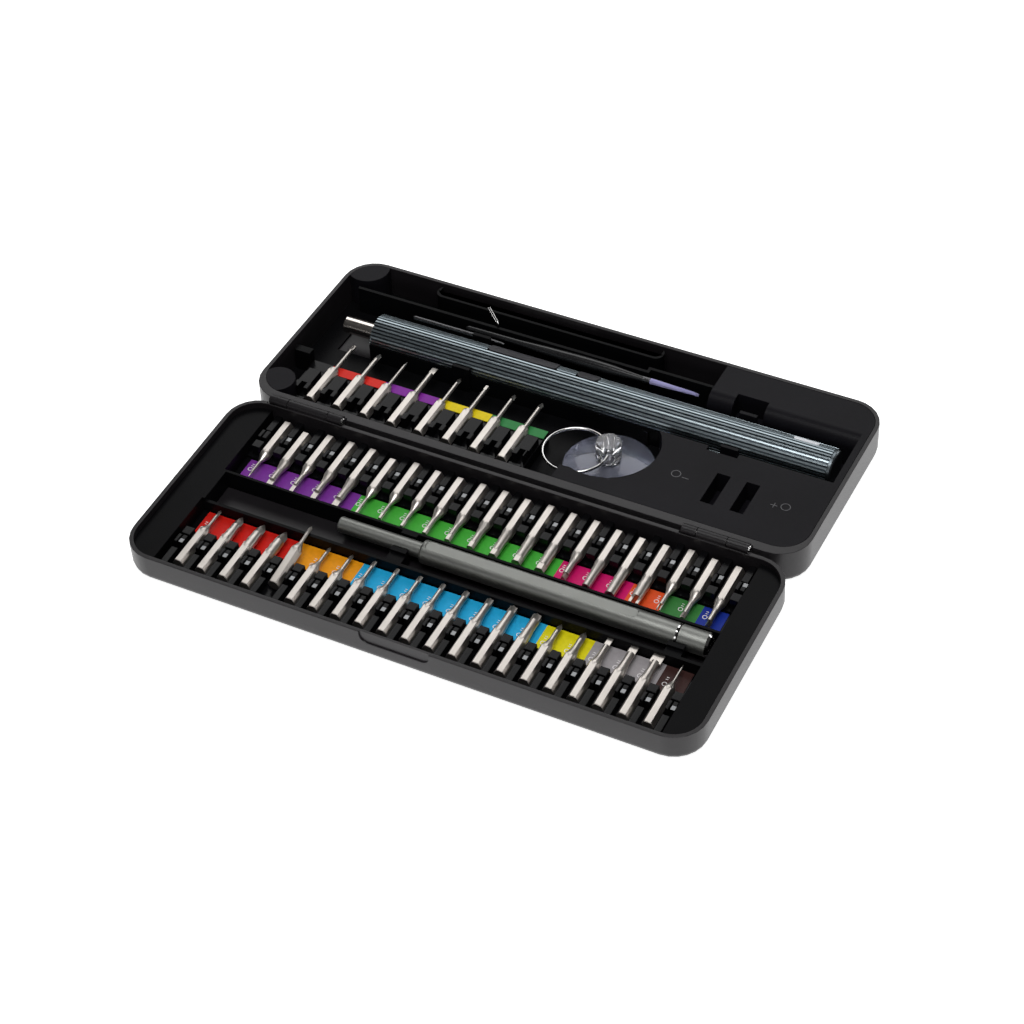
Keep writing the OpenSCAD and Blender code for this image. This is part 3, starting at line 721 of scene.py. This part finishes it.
@dataclass
class Rows:
    """The bit rows of both halves."""

    first_x: float = -86.8
    short_pitch: float = 8.785
    long_pitch: float = 11.14
    depth: float = 5.3
    hinge_start: float = 4.8
    front_start: float = 80.4
    long_start: float = 10.0
    short_length: float = 28.4
    short_shank: float = 16.6
    long_shape: tuple[float, float, float] = (33.8, 17.6, 1.8)
    loose_seat: int = 4
    loose_shift: float = 0.15
    loose_start: float = 76.1
    loose_raise: float = 0.5
    loose_turn_deg: float = 2.0
    loose_tilt_deg: float = 3.5
    hinge_slip: tuple[float, ...] = (
        0, 2.2, 0, 0, 0, 1.6, 0, 0.6, 0.4, 0, 0, 0.6, 0, 0.3, 0.4, 1.4, 1.6, 1.4, 0, 0.8, 0.8)
    hinge_tips: tuple[tuple[Tip, float], ...] = (
        (Tip.NEEDLE, 0.6), (Tip.FLAT, 1.2), (Tip.SPOON, 0.9), (Tip.SPOON, 1.2), (Tip.SPOON, 1.4),
        (Tip.HEX, 0.6), (Tip.HEX, 0.65), (Tip.HEX, 0.75), (Tip.HEX, 0.95), (Tip.HEX, 1.1),
        (Tip.HEX, 1.3), (Tip.HEX, 1.6), (Tip.HEX, 1.75), (Tip.HEX, 1.8), (Tip.TRI, 1.1),
        (Tip.SOCKET, 1.5), (Tip.SOCKET, 1.8),
        (Tip.FORK, 1.9), (Tip.FORK, 0.8), (Tip.PENTA, 0.9), (Tip.TRI, 1.0))
    front_tips: tuple[tuple[Tip, float], ...] = (
        (Tip.CROSS, 0.6), (Tip.CROSS, 1.5), (Tip.CROSS, 1.7), (Tip.CROSS, 1.8), (Tip.CROSS, 0.65),
        (Tip.CROSS, 0.65), (Tip.CROSS, 0.7), (Tip.STAR, 0.75), (Tip.STAR, 0.8), (Tip.STAR, 0.85),
        (Tip.STAR, 0.9), (Tip.STAR, 1.1), (Tip.STAR, 1.3), (Tip.STAR, 1.5), (Tip.STAR, 1.6),
        (Tip.CROSS, 0.9), (Tip.CROSS, 1.1), (Tip.FLAT, 1.0), (Tip.FLAT, 1.4), (Tip.FLAT, 2.0),
        (Tip.NEEDLE, 0.45))
    long_tips: tuple[tuple[Tip, float], ...] = (
        (Tip.STAR, 0.75), (Tip.CROSS, 0.9), (Tip.NEEDLE, 0.6), (Tip.FLAT, 1.1), (Tip.CROSS, 0.8),
        (Tip.PENTA, 0.85), (Tip.CROSS, 0.8), (Tip.CROSS, 0.85))
    hinge_groups: tuple[tuple[str, int, int], ...] = (
        ("short_bits_purple", 0, 4), ("short_bits_green", 5, 13), ("short_bits_magenta", 14, 16),
        ("short_bits_orange", 17, 18), ("short_bit_dark_green", 19, 19), ("short_bit_blue", 20, 20))
    front_groups: tuple[tuple[str, int, int], ...] = (
        ("short_bits_red", 0, 3), ("short_bits_amber", 5, 6), ("short_bits_cyan", 7, 14),
        ("short_bits_yellow", 15, 16), ("short_bits_grey", 17, 19), ("short_bit_brown", 20, 20))
    long_groups: tuple[tuple[str, int, int], ...] = (
        ("long_bits_red", 0, 2), ("long_bits_purple", 3, 4), ("long_bits_yellow", 5, 6),
        ("long_bit_green", 7, 7))

    def body_of(self, node: str) -> str:
        """Name of the CAD body that carries a bit node."""
        return node + "_set" if "bits" in node else node + "_one"

    def hinge_place(self, i: int) -> Matrix:
        """Frame of a bit in the row beside the hinge."""
        span = self.hinge_start + self.hinge_slip[i]
        return DATUM.shallow(self.first_x + self.short_pitch * i, span, self.depth) @ TO_FRONT

    def front_place(self, i: int) -> Matrix:
        """Frame of a bit in the row beside the front wall."""
        x = self.first_x + self.short_pitch * i
        return DATUM.shallow(x, self.front_start, self.depth) @ TO_REAR

    def long_place(self, i: int) -> Matrix:
        """Frame of a long bit."""
        return DATUM.deep(self.first_x + self.long_pitch * i, self.long_start, self.depth) @ TO_REAR

    def loose_place(self) -> Matrix:
        """Frame of the bit that lies askew."""
        x = self.first_x + self.loose_seat * self.short_pitch + self.loose_shift
        spot = DATUM.shallow(x, self.loose_start, self.depth - self.loose_raise)
        turn = Matrix.Rotation(math.radians(self.loose_turn_deg), 4, "Z")
        return spot @ turn @ Matrix.Rotation(math.radians(self.loose_tilt_deg), 4, "X") @ TO_REAR

    def hinge_bit(self, i: int) -> Bit:
        """A bit beside the hinge; one that slipped forward shows less of its shank."""
        hidden = self.hinge_slip[i] / 2
        return Bit(*self.hinge_tips[i], self.short_length - hidden, self.short_shank - hidden)

    def seats(self) -> Iterator[tuple[str, list[tuple[Matrix, Bit]]]]:
        """Each bit node with the places and the shapes of its bits."""
        loose = ("short_bit_loose", self.loose_seat, self.loose_seat)
        for groups, place, bit in (
                (self.hinge_groups, self.hinge_place, self.hinge_bit),
                (self.front_groups, self.front_place, lambda i: Bit(*self.front_tips[i])),
                ((loose,), lambda i: self.loose_place(), lambda i: Bit(*self.front_tips[i])),
                (self.long_groups, self.long_place, lambda i: Bit(*self.long_tips[i], *self.long_shape))):
            for node, first, last in groups:
                yield node, [(place(i), bit(i)) for i in range(first, last + 1)]

    def build(self) -> list[bpy.types.Object]:
        """Build every bit.

        Returns:
            The finished pieces, one for each CAD node.
        """
        return [BitSet(node, self.body_of(node), bits).build() for node, bits in self.seats()]


# ---------------------------------------------------------------- case halves
@dataclass
class DeepHalf:
    """The deep half of the case with its tray, rack and block."""

    body: str = "case"
    skins: tuple[tuple[str, Finish, str, float], ...] = (
        ("rear_shell", Finish.SHELL, "case_black", 0.35),
        ("rear_tray", Finish.TRAY, "tray_black", 0.16),
        ("long_rack", Finish.RACK, "rack_black", 0.22),
        ("utility_block", Finish.BLOCK, "block_black", 0.30),
        ("corner_pads", Finish.BLOCK, "block_black", 0.20))
    marks_depth: float = 0.1
    sign_x: tuple[float, float] = (52.4, 93.2)
    sign_y: float = 24.2
    bars: tuple[tuple[float, float, float, float], ...] = (
        (56.2, 23.3, 2.6, 0.35), (89.2, 23.4, 2.6, 0.35), (89.2, 23.4, 0.35, 2.6))
    ledge_span: tuple[float, float] = (-82.0, 45.0)
    ledge_y: float = 46.5
    ledge_depth: float = 4.8
    ledge_wall: float = 0.3
    plate_top: float = 1.65

    def build(self) -> list[bpy.types.Object]:
        """Build the softened mouldings and the block's marks."""
        made = [softened(node, finish, self.body, *look) for node, finish, *look in self.skins]
        return made + [self.marks(), self.ledge()]

    def ledge(self) -> bpy.types.Object:
        """The low wall of the tray in front of the powered driver."""
        x0, x1 = self.ledge_span
        height = DATUM.rear_depth - self.ledge_depth - self.plate_top
        wall = block((x1 - x0, self.ledge_wall, height), (0, 0, -height / 2), 0.08)
        spot = DATUM.deep((x0 + x1) / 2, self.ledge_y, self.ledge_depth)
        bmesh.ops.transform(wall, matrix=spot, verts=wall.verts)
        return seal(wall, "tray_ledge", Finish.TRAY, self.body, "tray_black")

    def marks(self) -> bpy.types.Object:
        """Plain sign marks beside the two slots of the block."""
        bm = bmesh.new()
        for x, y, width, height in self.bars:
            bar = block((width, height, 0.08), (0, 0, 0.02), 0.03)
            join(bm, bar, DATUM.deep(x, y, self.marks_depth))
        for x in self.sign_x:
            join(bm, washer(1.5, 1.75, 0.06, 32), DATUM.deep(x, self.sign_y, self.marks_depth))
        return seal(bm, "slot_marks", Finish.SLOT_DARK, self.body, "block_black")


@dataclass
class ShallowHalf:
    """The shallow half of the case with its insert and the two short-bit racks."""

    rows: Rows
    body: str = "lid"
    skins: tuple[tuple[str, Finish, str, float], ...] = (
        ("front_shell", Finish.SHELL, "case_black", 0.35),
        ("front_insert", Finish.TRAY, "tray_black", 0.15),
        ("hinge_row_rack", Finish.RACK, "rack_black", 0.20),
        ("front_row_rack", Finish.RACK, "rack_black", 0.20))
    label_top: float = 8.2
    post_offset: float = 5.3
    post_span: float = 8.5
    post_top: float = 2.89
    seats: int = 21
    tick_step: float = 0.9
    label_rows: tuple[tuple[str, float, float, float], ...] = (
        ("hinge_row_marks", 27.4, 24.9, -3.2), ("front_row_marks", 59.6, 56.6, -3.4))

    def build(self) -> list[bpy.types.Object]:
        """Build the softened mouldings, the printed label marks and the pads of painted highlight on the
        posts.
        """
        made = [softened(node, finish, self.body, *look) for node, finish, *look in self.skins]
        return made + [self.label_marks(*row) for row in self.label_rows] + [self.painted_post_glints()]

    def painted_post_glints(self) -> bpy.types.Object:
        """Lighter grey pads on the outer post beside each seat of both rows: a painted highlight for the
        glint of light on the posts' tops.
        """
        bm = bmesh.new()
        for i in range(-1, self.seats):
            x = self.rows.first_x + self.rows.short_pitch * i + self.post_offset
            spans = [self.rows.front_start - self.post_span, self.rows.hinge_start + self.post_span]
            for span in spans[:1] if i < 0 else spans:
                # Each pad paints the glint of light on a post's top.
                join(bm, block((1.5, 1.7, 0.1), (0, 0, 0), 0.04), DATUM.shallow(x, span, self.post_top))
        return seal(bm, "painted_post_glints", Finish.GLINT, self.body, "rack_black")

    def label_marks(self, name: str, ring_span: float, tick_span: float,
                    shift: float) -> bpy.types.Object:
        """A drive sign and two size ticks beside each seat of a row.

        Args:
            name: name of the piece.
            ring_span: distance of the signs from the hinge.
            tick_span: distance of the ticks from the hinge.
            shift: place along X from the bit.

        Returns:
            The finished piece.
        """
        bm = bmesh.new()
        for i in range(self.seats):
            x = self.rows.first_x + self.rows.short_pitch * i + shift
            join(bm, washer(0.62, 0.9, 0.03, 20), DATUM.shallow(x, ring_span, self.label_top))
            for offset in (0.0, self.tick_step):
                tick = block((0.9, 0.28, 0.04), (0, 0, 0.01))
                join(bm, tick, DATUM.shallow(x, tick_span + offset, self.label_top))
        return seal(bm, name, Finish.INK, self.body, "label_print")


# ---------------------------------------------------------------- powered driver
@dataclass
class PoweredDriver:
    """The ribbed powered driver."""

    body: str = "driver"
    x0: float = -82.0
    length: float = 180.5
    radius: float = 7.5
    y: float = 54.2
    depth: float = 5.3
    button_deg: float = 67.0
    chuck_x: float = -96.0
    rocker: tuple[float, float] = (-36.5, -8.8)
    light: tuple[float, float] = (-0.7, 7.7)
    window: tuple[float, float] = (82.9, 92.4)
    pad_rounding: float = 0.22

    def axis(self, x: float = 0.0) -> Matrix:
        """Frame on the driver's axis with Z along X."""
        return DATUM.deep(x, self.y, self.depth) @ ALONG_X

    def pad(self, span: tuple[float, float], width: float, proud: float, dish: float,
            corner: float) -> bmesh.types.BMesh:
        """A button pad that follows the barrel.

        Args:
            span: ends along X.
            width: width round the barrel.
            proud: height over the barrel's radius.
            dish: depth of the hollow along its middle.
            corner: radius of its plan corners.

        Returns:
            The mesh, in the set's frame.
        """
        length = span[1] - span[0]
        bm = bmesh.new()
        bmesh.ops.create_cube(bm, size=1.0)
        bmesh.ops.scale(bm, vec=(length, width, 1.6), verts=bm.verts)
        upright = [e for e in bm.edges if abs(e.verts[0].co.z - e.verts[1].co.z) > 1]
        round_off(bm, upright, corner, 8)
        for extent, steps, normal in ((width, 8, Vector((0, 1, 0))), (length, 16, Vector((1, 0, 0)))):
            for step in range(1, steps):
                spot = normal * (-extent / 2 + extent * step / steps)
                bmesh.ops.bisect_plane(bm, geom=bm.verts[:] + bm.edges[:] + bm.faces[:], plane_co=spot,
                                       plane_no=normal)
        rim = [e for e in bm.edges if len(e.link_faces) == 2 and e.calc_face_angle(0) > 1.2
               and min(v.co.z for v in e.verts) > 0.5]
        round_off(bm, rim, self.pad_rounding)
        for vert in bm.verts:
            across = vert.co.y / (width / 2)
            hollow = dish * (1 - across * across) * math.sin(math.pi * (vert.co.x / length + 0.5)) ** 2
            reach = self.radius + proud + (vert.co.z - 0.8) - (hollow if vert.co.z > 0 else 0)
            angle = vert.co.y / self.radius
            vert.co = Vector((vert.co.x, reach * math.sin(angle), reach * math.cos(angle)))
        place = DATUM.deep((span[0] + span[1]) / 2, self.y, self.depth)
        tilt = Matrix.Rotation(math.radians(self.button_deg - 90), 4, "X")
        bmesh.ops.transform(bm, matrix=place @ tilt, verts=bm.verts)
        return bm

    def build(self) -> list[bpy.types.Object]:
        """Build the barrel, end, chuck, buttons and charge window."""
        tail = turned([(0, -3.5), (6.1, -3.5), (6.1, 0), (7.0, 0), (7.0, 0.9), (6.6, 1.4),
                       (0, 1.4)], 72)
        chuck = turned([(0, 8.5), (2.42, 8.5), (2.42, 0.3), (2.7, 0), (2.95, 0), (3.2, 0.35),
                        (3.2, 12.9), (2.95, 13.2), (2.55, 13.4), (2.55, 19.5), (0, 19.5)], 64)
        return [
            softened("driver_body", Finish.ANODISED, self.body, "driver_aluminium", 0.05, 1),
            stand_in(placed(tail, self.axis(self.x0 + self.length)), "driver_end_cap",
                     Finish.ANODISED_END, (self.body, "driver_cap"), "driver_tail"),
            stand_in(placed(chuck, self.axis(self.chuck_x)), "chuck_turned", Finish.CHUCK,
                     ("chuck", "chuck_steel"), "driver_chuck"),
            stand_in(self.pad(self.rocker, 5.3, 0.45, 0.32, 1.3), "rocker_pad", Finish.RUBBER,
                     ("rocker", "button_rubber"), "rocker_button"),
            stand_in(self.pad(self.light, 5.2, 0.3, 0.3, 1.8), "light_pad", Finish.RUBBER,
                     ("light_switch", "button_rubber"), "light_button"),
            stand_in(self.pad(self.window, 2.3, 0.04, 0.0, 1.1), "charge_pill", Finish.WHITE_WINDOW,
                     (self.body, "light_pipe"), "charge_indicator")]


# ---------------------------------------------------------------- hand driver
@dataclass
class HandDriver:
    """The slim hand driver with its flat facet and turning end cap."""

    body: str = "pen"
    span: float = 41.5
    depth: float = 4.4
    radius: float = 4.2
    nose_r: float = 2.8
    nose_x: float = -44.7
    barrel_x: float = -12.5
    collar_x: float = 82.3
    cap_x: float = 83.2
    end_x: float = 94.0
    facet: tuple[float, float] = (-11.0, 68.0)
    facet_drop: float = 0.45

    def axis(self, x: float) -> Matrix:
        """Frame on the driver's axis with Z along X."""
        return DATUM.shallow(x, self.span, self.depth) @ ALONG_X

    def barrel(self) -> bmesh.types.BMesh:
        """The barrel with its round-ended facet, along Z from its front."""
        length = self.collar_x - self.barrel_x
        ends = (self.facet[0] - self.barrel_x, self.facet[1] - self.barrel_x)
        steps = [0.25 * i for i in range(12)]
        starts = (ends[0], ends[1] - steps[-1])
        stations = [0.9] + [start + step for start in starts for step in steps]
        profile = [(0, 0), (self.radius - 0.7, 0), (self.radius - 0.15, 0.35)]
        profile += [(self.radius, z) for z in stations] + [(self.radius, length), (0, length)]
        bm = turned(profile, 120)
        level = self.radius - self.facet_drop
        half = math.sqrt(self.radius ** 2 - level ** 2)
        for vert in bm.verts:
            up = -vert.co.x
            if up <= level or abs(vert.co.y) > half:
                continue
            tuck = half - math.sqrt(max(0.0, half * half - vert.co.y ** 2))
            if ends[0] + tuck <= vert.co.z <= ends[1] - tuck:
                vert.co.x = -level
        return bm

    def build(self) -> list[bpy.types.Object]:
        """Build the barrel, nose, collar and cap."""
        reach = self.barrel_x - self.nose_x
        long = self.end_x - self.cap_x
        nose = turned([(0, 6), (2.3, 6), (2.3, 0.3), (2.45, 0), (self.nose_r - 0.25, 0),
                       (self.nose_r, 0.3), (self.nose_r, reach), (0, reach)], 72)
        collar = turned([(0, 0), (4.17, 0), (4.17, 0.6), (0, 0.6)], 96)
        cap = placed(turned([(1.1, 0.0), (4.0, 0), (self.radius, 0.2), (self.radius, long - 0.9)], 96),
                     self.axis(self.cap_x))
        bmesh.ops.holes_fill(cap, edges=[e for e in cap.edges if e.is_boundary])
        bmesh.ops.recalc_face_normals(cap, faces=cap.faces)
        edge = turned([(0, long - 0.9), (self.radius, long - 0.9), (self.radius - 0.75, long - 0.1),
                       (2.9, long), (2.7, long - 0.35), (0, long - 0.35)], 96)
        metal = (self.body, "pen_aluminium")
        return [
            stand_in(placed(self.barrel(), self.axis(self.barrel_x)), "pen_grip", Finish.PEN, metal,
                     "pen_barrel", 8.0),
            stand_in(placed(nose, self.axis(self.nose_x)), "pen_nose_tube", Finish.PEN, metal,
                     "pen_nose"),
            stand_in(placed(collar, self.axis(self.collar_x)), "pen_seam_ring", Finish.BRIGHT,
                     (self.body, "bright_trim"), "pen_collar"),
            stand_in(cap, "pen_end_cap", Finish.PEN, ("pen_end", "pen_aluminium"), "pen_cap"),
            seal(placed(edge, self.axis(self.cap_x)), "pen_cap_bright_edge", Finish.BRIGHT, "pen_end",
                 "bright_trim")]


# ---------------------------------------------------------------- suction cup
@dataclass
class CupAndRing:
    """The clear suction cup with its split ring."""

    body: str = "cup"
    x: float = 24.0
    y: float = 29.7
    radius: float = 16.6
    ring_r: float = 11.7
    wire: float = 0.40
    ring_depth: float = 5.0
    ring_deg: float = 20.3
    ring_turns: int = 2
    ring_steps: int = 144

    def build(self) -> list[bpy.types.Object]:
        """Build the cup with its tab, its knob and the split ring."""
        disc = placed(turned([(0, -9.6), (3, -9.7), (10, -11), (16.3, -12), (self.radius, -11.9),
                              (self.radius, -11.6), (14, -10.7), (10, -9.6), (6, -8.9), (3.2, -8.6),
                              (0, -8.6)], 96), DATUM.deep(self.x, self.y, 0))
        join(disc, block((0.8, 2.6, 1.6), (0, 0, 0), 0.2), DATUM.deep(self.x - 13.2, self.y + 1.6, 9.6))
        return [
            stand_in(disc, "cup_disc", Finish.CUP, (self.body, "cup_clear"), "suction_cup"),
            softened("suction_knob", Finish.KNOB, self.body, "cup_clear", 0.25),
            stand_in(self.split_ring(), "split_ring", Finish.BRIGHT, ("ring", "bright_trim"),
                     "key_ring")]

    def split_ring(self) -> bmesh.types.BMesh:
        """The wire of the split ring, as one coil of two turns."""
        bm = bmesh.new()
        wire = bmesh.ops.create_circle(bm, cap_ends=False, segments=14, radius=self.wire)
        bmesh.ops.rotate(bm, verts=wire["verts"], matrix=Matrix.Rotation(math.pi / 2, 3, "X"))
        bmesh.ops.translate(bm, vec=(self.ring_r, 0, -self.wire), verts=wire["verts"])
        rise = 2 * self.wire * 0.98 / self.ring_steps
        bmesh.ops.spin(bm, geom=bm.verts[:] + bm.edges[:], cent=(0, 0, 0), axis=(0, 0, 1),
                       angle=math.tau * self.ring_turns, steps=self.ring_steps, dvec=(0, 0, rise),
                       use_merge=False)
        bmesh.ops.holes_fill(bm, edges=[e for e in bm.edges if e.is_boundary])
        bmesh.ops.recalc_face_normals(bm, faces=bm.faces)
        turn = Matrix.Rotation(math.radians(self.ring_deg), 4, "Z")
        spot = DATUM.deep(self.x, self.y, self.ring_depth) @ turn
        bmesh.ops.transform(bm, matrix=spot @ Matrix.Translation((-self.ring_r, 0, 0)), verts=bm.verts)
        return bm


# ---------------------------------------------------------------- small tools
@dataclass
class SmallTools:
    """The brush, the pry tool, the tray pin and the hook probe."""

    brush_y: float = 67.6
    brush_depth: float = 2.2
    pry_y: float = 81.6
    pry_depth: float = 3.6
    grips: tuple[tuple[float, float], ...] = ((-68.0, -42.0), (-7.5, 17.0))
    pin_at: tuple[float, float, float] = (-48.5, 79.1, -0.05)
    pin_deg: float = -44.0
    probe_y: float = 64.9
    probe_depth: float = 2.5
    strands: int = 70
    strand_l: float = 19.0

    def build(self) -> list[bpy.types.Object]:
        """Build the small tools in the tool bay."""
        brush = DATUM.deep(0, self.brush_y, self.brush_depth) @ ALONG_X
        pry = DATUM.deep(0, self.pry_y, self.pry_depth) @ ALONG_X
        handle = turned([(0, -52), (0.5, -51.9), (0.85, -51), (1.1, -30), (1.7, -18), (2.05, -6),
                         (2.1, 0), (1.9, 8), (1.4, 15), (1.1, 20), (0, 20)], 32)
        band = turned([(0, 20), (1.15, 20), (1.2, 20.3), (1.1, 20.8), (1.2, 21.2), (1.1, 21.8),
                       (1.2, 22.2), (1.15, 23), (0, 23)], 32)
        rod = turned([(0, -42), (0.9, -42), (0.9, -12), (0.6, -10.5), (0.85, -9.5), (0.85, -7.5),
                      (0, -7.5)], 24)
        probe = turned([(0, -73), (0.7, -72.8), (0.9, -72), (0.9, -42), (0.6, -40), (0.45, -36),
                        (0.2, -35), (0, -35)], 20)
        return [
            stand_in(placed(handle, brush), "brush_stick", Finish.GLOSS_BLACK, ("brush", "rack_black"),
                     "brush_handle"),
            stand_in(placed(band, brush), "brush_band", Finish.DARK_STEEL, ("brush", "motor_can"),
                     "brush_ferrule"),
            self.bristles(),
            stand_in(self.pry_grips(), "pry_tool_grips", Finish.GLOSS_BLACK, ("pry_tool", "rack_black"),
                     "pry_tool_ends"),
            stand_in(placed(rod, pry), "pry_tool_shaft", Finish.BRIGHT, ("pry_tool", "bright_trim"),
                     "pry_tool_rod"),
            stand_in(self.pin(), "tray_pin_wire", Finish.BRIGHT, ("pin", "bright_trim"), "tray_pin"),
            stand_in(placed(probe, DATUM.deep(0, self.probe_y, self.probe_depth) @ ALONG_X),
                     "hook_probe_rod", Finish.DARK_STEEL, ("probe", "probe_dark"), "hook_probe")]

    def pry_grips(self) -> bmesh.types.BMesh:
        """The two black grips of the pry tool."""
        bm = bmesh.new()
        for start, end in self.grips:
            long = end - start
            part = turned([(0, 0), (1.3, 0), (1.7, 0.5), (1.7, long - 0.8), (1.2, long), (0, long)], 28)
            join(bm, part, DATUM.deep(start, self.pry_y, self.pry_depth) @ ALONG_X)
        return bm

    def pin(self) -> bmesh.types.BMesh:
        """The tray pin: two wire legs and their head."""
        bm = bmesh.new()
        for side in (-0.36, 0.36):
            leg = turned([(0, 0.2), (0.17, 0.2), (0.17, 9.6), (0, 9.6)], 12)
            join(bm, leg, Matrix.Translation((0, side, 0)))
        join(bm, turned([(0, 9.4), (0.5, 9.5), (0.5, 10.9), (0, 11)], 16))
        spot = DATUM.deep(*self.pin_at) @ Matrix.Rotation(math.radians(self.pin_deg), 4, "Z") @ ALONG_X
        bmesh.ops.transform(bm, matrix=spot, verts=bm.verts)
        return bm

    def bristles(self) -> bpy.types.Object:
        """The brush's tapering tuft, as separate thin strands."""
        bm = bmesh.new()
        golden = math.pi * (3 - math.sqrt(5))
        for i in range(self.strands):
            start_r = 1.05 * math.sqrt((i + 0.5) / self.strands)
            angle = golden * i
            strand = prism(0.11, 5, self.strand_l - 2.5 * (i % 5) / 5, 0.4)
            spread = 1.5 * start_r
            for vert in strand.verts:
                t = vert.co.z / self.strand_l
                swell = (spread - start_r) * min(1.0, t * 4)
                r = start_r + swell - (spread - 0.15) * max(0.0, t - 0.25)
                vert.co.x += r * math.cos(angle)
                vert.co.y += r * math.sin(angle)
            join(bm, strand, DATUM.deep(22.9, self.brush_y, self.brush_depth) @ ALONG_X)
        return stand_in(bm, "brush_tuft", Finish.BRISTLE, ("brush", "bristle_violet"), "brush_bristles")


# ---------------------------------------------------------------- CAD nodes that stay
@dataclass
class PlainNodes:
    """Finishes of the CAD nodes that are shown as they are."""

    finishes: dict[str, Finish] = field(default_factory=lambda: {
        "long_label": Finish.LONG_STRIP, "hinge_row_label": Finish.HINGE_STRIP,
        "front_row_label": Finish.FRONT_STRIP, "magnetiser_magnet": Finish.NICKEL,
        "demagnetiser_magnet": Finish.NICKEL, "rear_closure_magnets": Finish.NICKEL,
        "front_closure_magnets": Finish.NICKEL, "chuck_magnet": Finish.NICKEL,
        "hinge_pins": Finish.BRIGHT,
        "driver_motor": Finish.NICKEL, "driver_battery": Finish.WRAP, "driver_board": Finish.BOARD,
        "pen_swivel_pin": Finish.BRIGHT})

    def dress(self) -> None:
        """Give every remaining node its finish."""
        for name, finish in self.finishes.items():
            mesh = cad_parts[name].data
            mesh.materials.clear()
            mesh.materials.append(material(finish))


# ---------------------------------------------------------------- studio
@dataclass
class Studio:
    """Floor, lights and camera."""

    camera_at: Place = (0.31364, -0.57608, 0.61565)
    right: Place = (0.8933, 0.4483, -0.0351)
    up: Place = (-0.2855, 0.6257, 0.7260)
    back: Place = (0.3474, -0.6384, 0.6868)
    lens: float = 90.04
    lamps: tuple[tuple[str, Place, tuple[float, float], float], ...] = (
        ("top_panel", (0.15, -0.25, 1.0), (0.7, 0.5), 7.0),
        ("back_panel", (-0.35, 0.9, 0.92), (1.1, 0.8), 5.2),
        ("rear_strip", (0.95, 0.95, 0.16), (1.3, 0.3), 2.4),
        ("left_strip", (-1.2, 0.7, 0.16), (1.0, 0.3), 1.8),
        ("front_strip", (0.15, -1.25, 0.42), (1.5, 0.4), 2.6))
    aim: Place = (0.0, 0.0, 0.01)
    floor_half: float = 6.0
    sky_strength: float = 0.03

    def build(self) -> None:
        """Build the floor, the lights and the camera."""
        self.floor()
        self.world()
        for lamp in self.lamps:
            self.light(*lamp)
        self.camera()

    def floor(self) -> None:
        """A wide pale floor."""
        bm = bmesh.new()
        bmesh.ops.create_grid(bm, x_segments=1, y_segments=1, size=self.floor_half)
        mesh = bpy.data.meshes.new("floor")
        bm.to_mesh(mesh)
        bm.free()
        paint = Painter("floor_white")
        paint.set(Base_Color=(0.86, 0.86, 0.86, 1.0), Roughness=0.85, Specular_IOR_Level=0.1,
                  Emission_Color=(1.0, 1.0, 1.0, 1.0), Emission_Strength=0.9)
        mesh.materials.append(paint.material)
        plane = bpy.data.objects.new("floor", mesh)
        bpy.context.scene.collection.objects.link(plane)

    def world(self) -> None:
        """Even white surroundings."""
        world = bpy.data.worlds.new("studio_world")
        world.use_nodes = True
        sky = world.node_tree.nodes["Background"]
        sky.inputs["Color"].default_value = (1.0, 1.0, 1.0, 1.0)
        sky.inputs["Strength"].default_value = self.sky_strength
        bpy.context.scene.world = world
        bpy.context.scene.view_settings.view_transform = "Standard"

    def light(self, name: str, at: Place, size: tuple[float, float], power: float) -> None:
        """A soft panel light that faces the set.

        Args:
            name: name of the light.
            at: its place, in metres.
            size: its width and height, in metres.
            power: its power, in watts.
        """
        lamp = bpy.data.lights.new(name, "AREA")
        lamp.shape = "RECTANGLE"
        lamp.size, lamp.size_y = size
        lamp.energy = power
        holder = bpy.data.objects.new(name, lamp)
        holder.location = at
        holder.rotation_euler = (Vector(self.aim) - Vector(at)).to_track_quat("-Z", "Y").to_euler()
        bpy.context.scene.collection.objects.link(holder)

    def camera(self) -> None:
        """The camera at the usual view."""
        data = bpy.data.cameras.new("camera")
        data.lens = self.lens
        data.sensor_width = 36.0
        data.clip_start, data.clip_end = 0.01, 20.0
        holder = bpy.data.objects.new("camera", data)
        turn = Matrix((self.right, self.up, self.back)).transposed().to_4x4()
        holder.matrix_world = Matrix.Translation(self.camera_at) @ turn
        bpy.context.scene.collection.objects.link(holder)
        bpy.context.scene.camera = holder


def report(built: Callable[[], list[bpy.types.Object]], what: str) -> None:
    """Build one sub-assembly and log its pieces.

    Args:
        built: method that builds it.
        what: its name in the log.
    """
    for piece in built():
        LOG.info("%s: %s, %d faces", what, piece.name, len(piece.data.polygons))


def main() -> None:
    logging.basicConfig(level=logging.INFO, format="%(name)s %(message)s")
    rows = Rows()
    report(DeepHalf().build, "deep half")
    report(ShallowHalf(rows).build, "shallow half")
    report(rows.build, "bits")
    report(PoweredDriver().build, "powered driver")
    report(HandDriver().build, "hand driver")
    report(CupAndRing().build, "suction cup")
    report(SmallTools().build, "small tools")
    PlainNodes().dress()
    Studio().build()


if __name__ == "__main__":
    main()
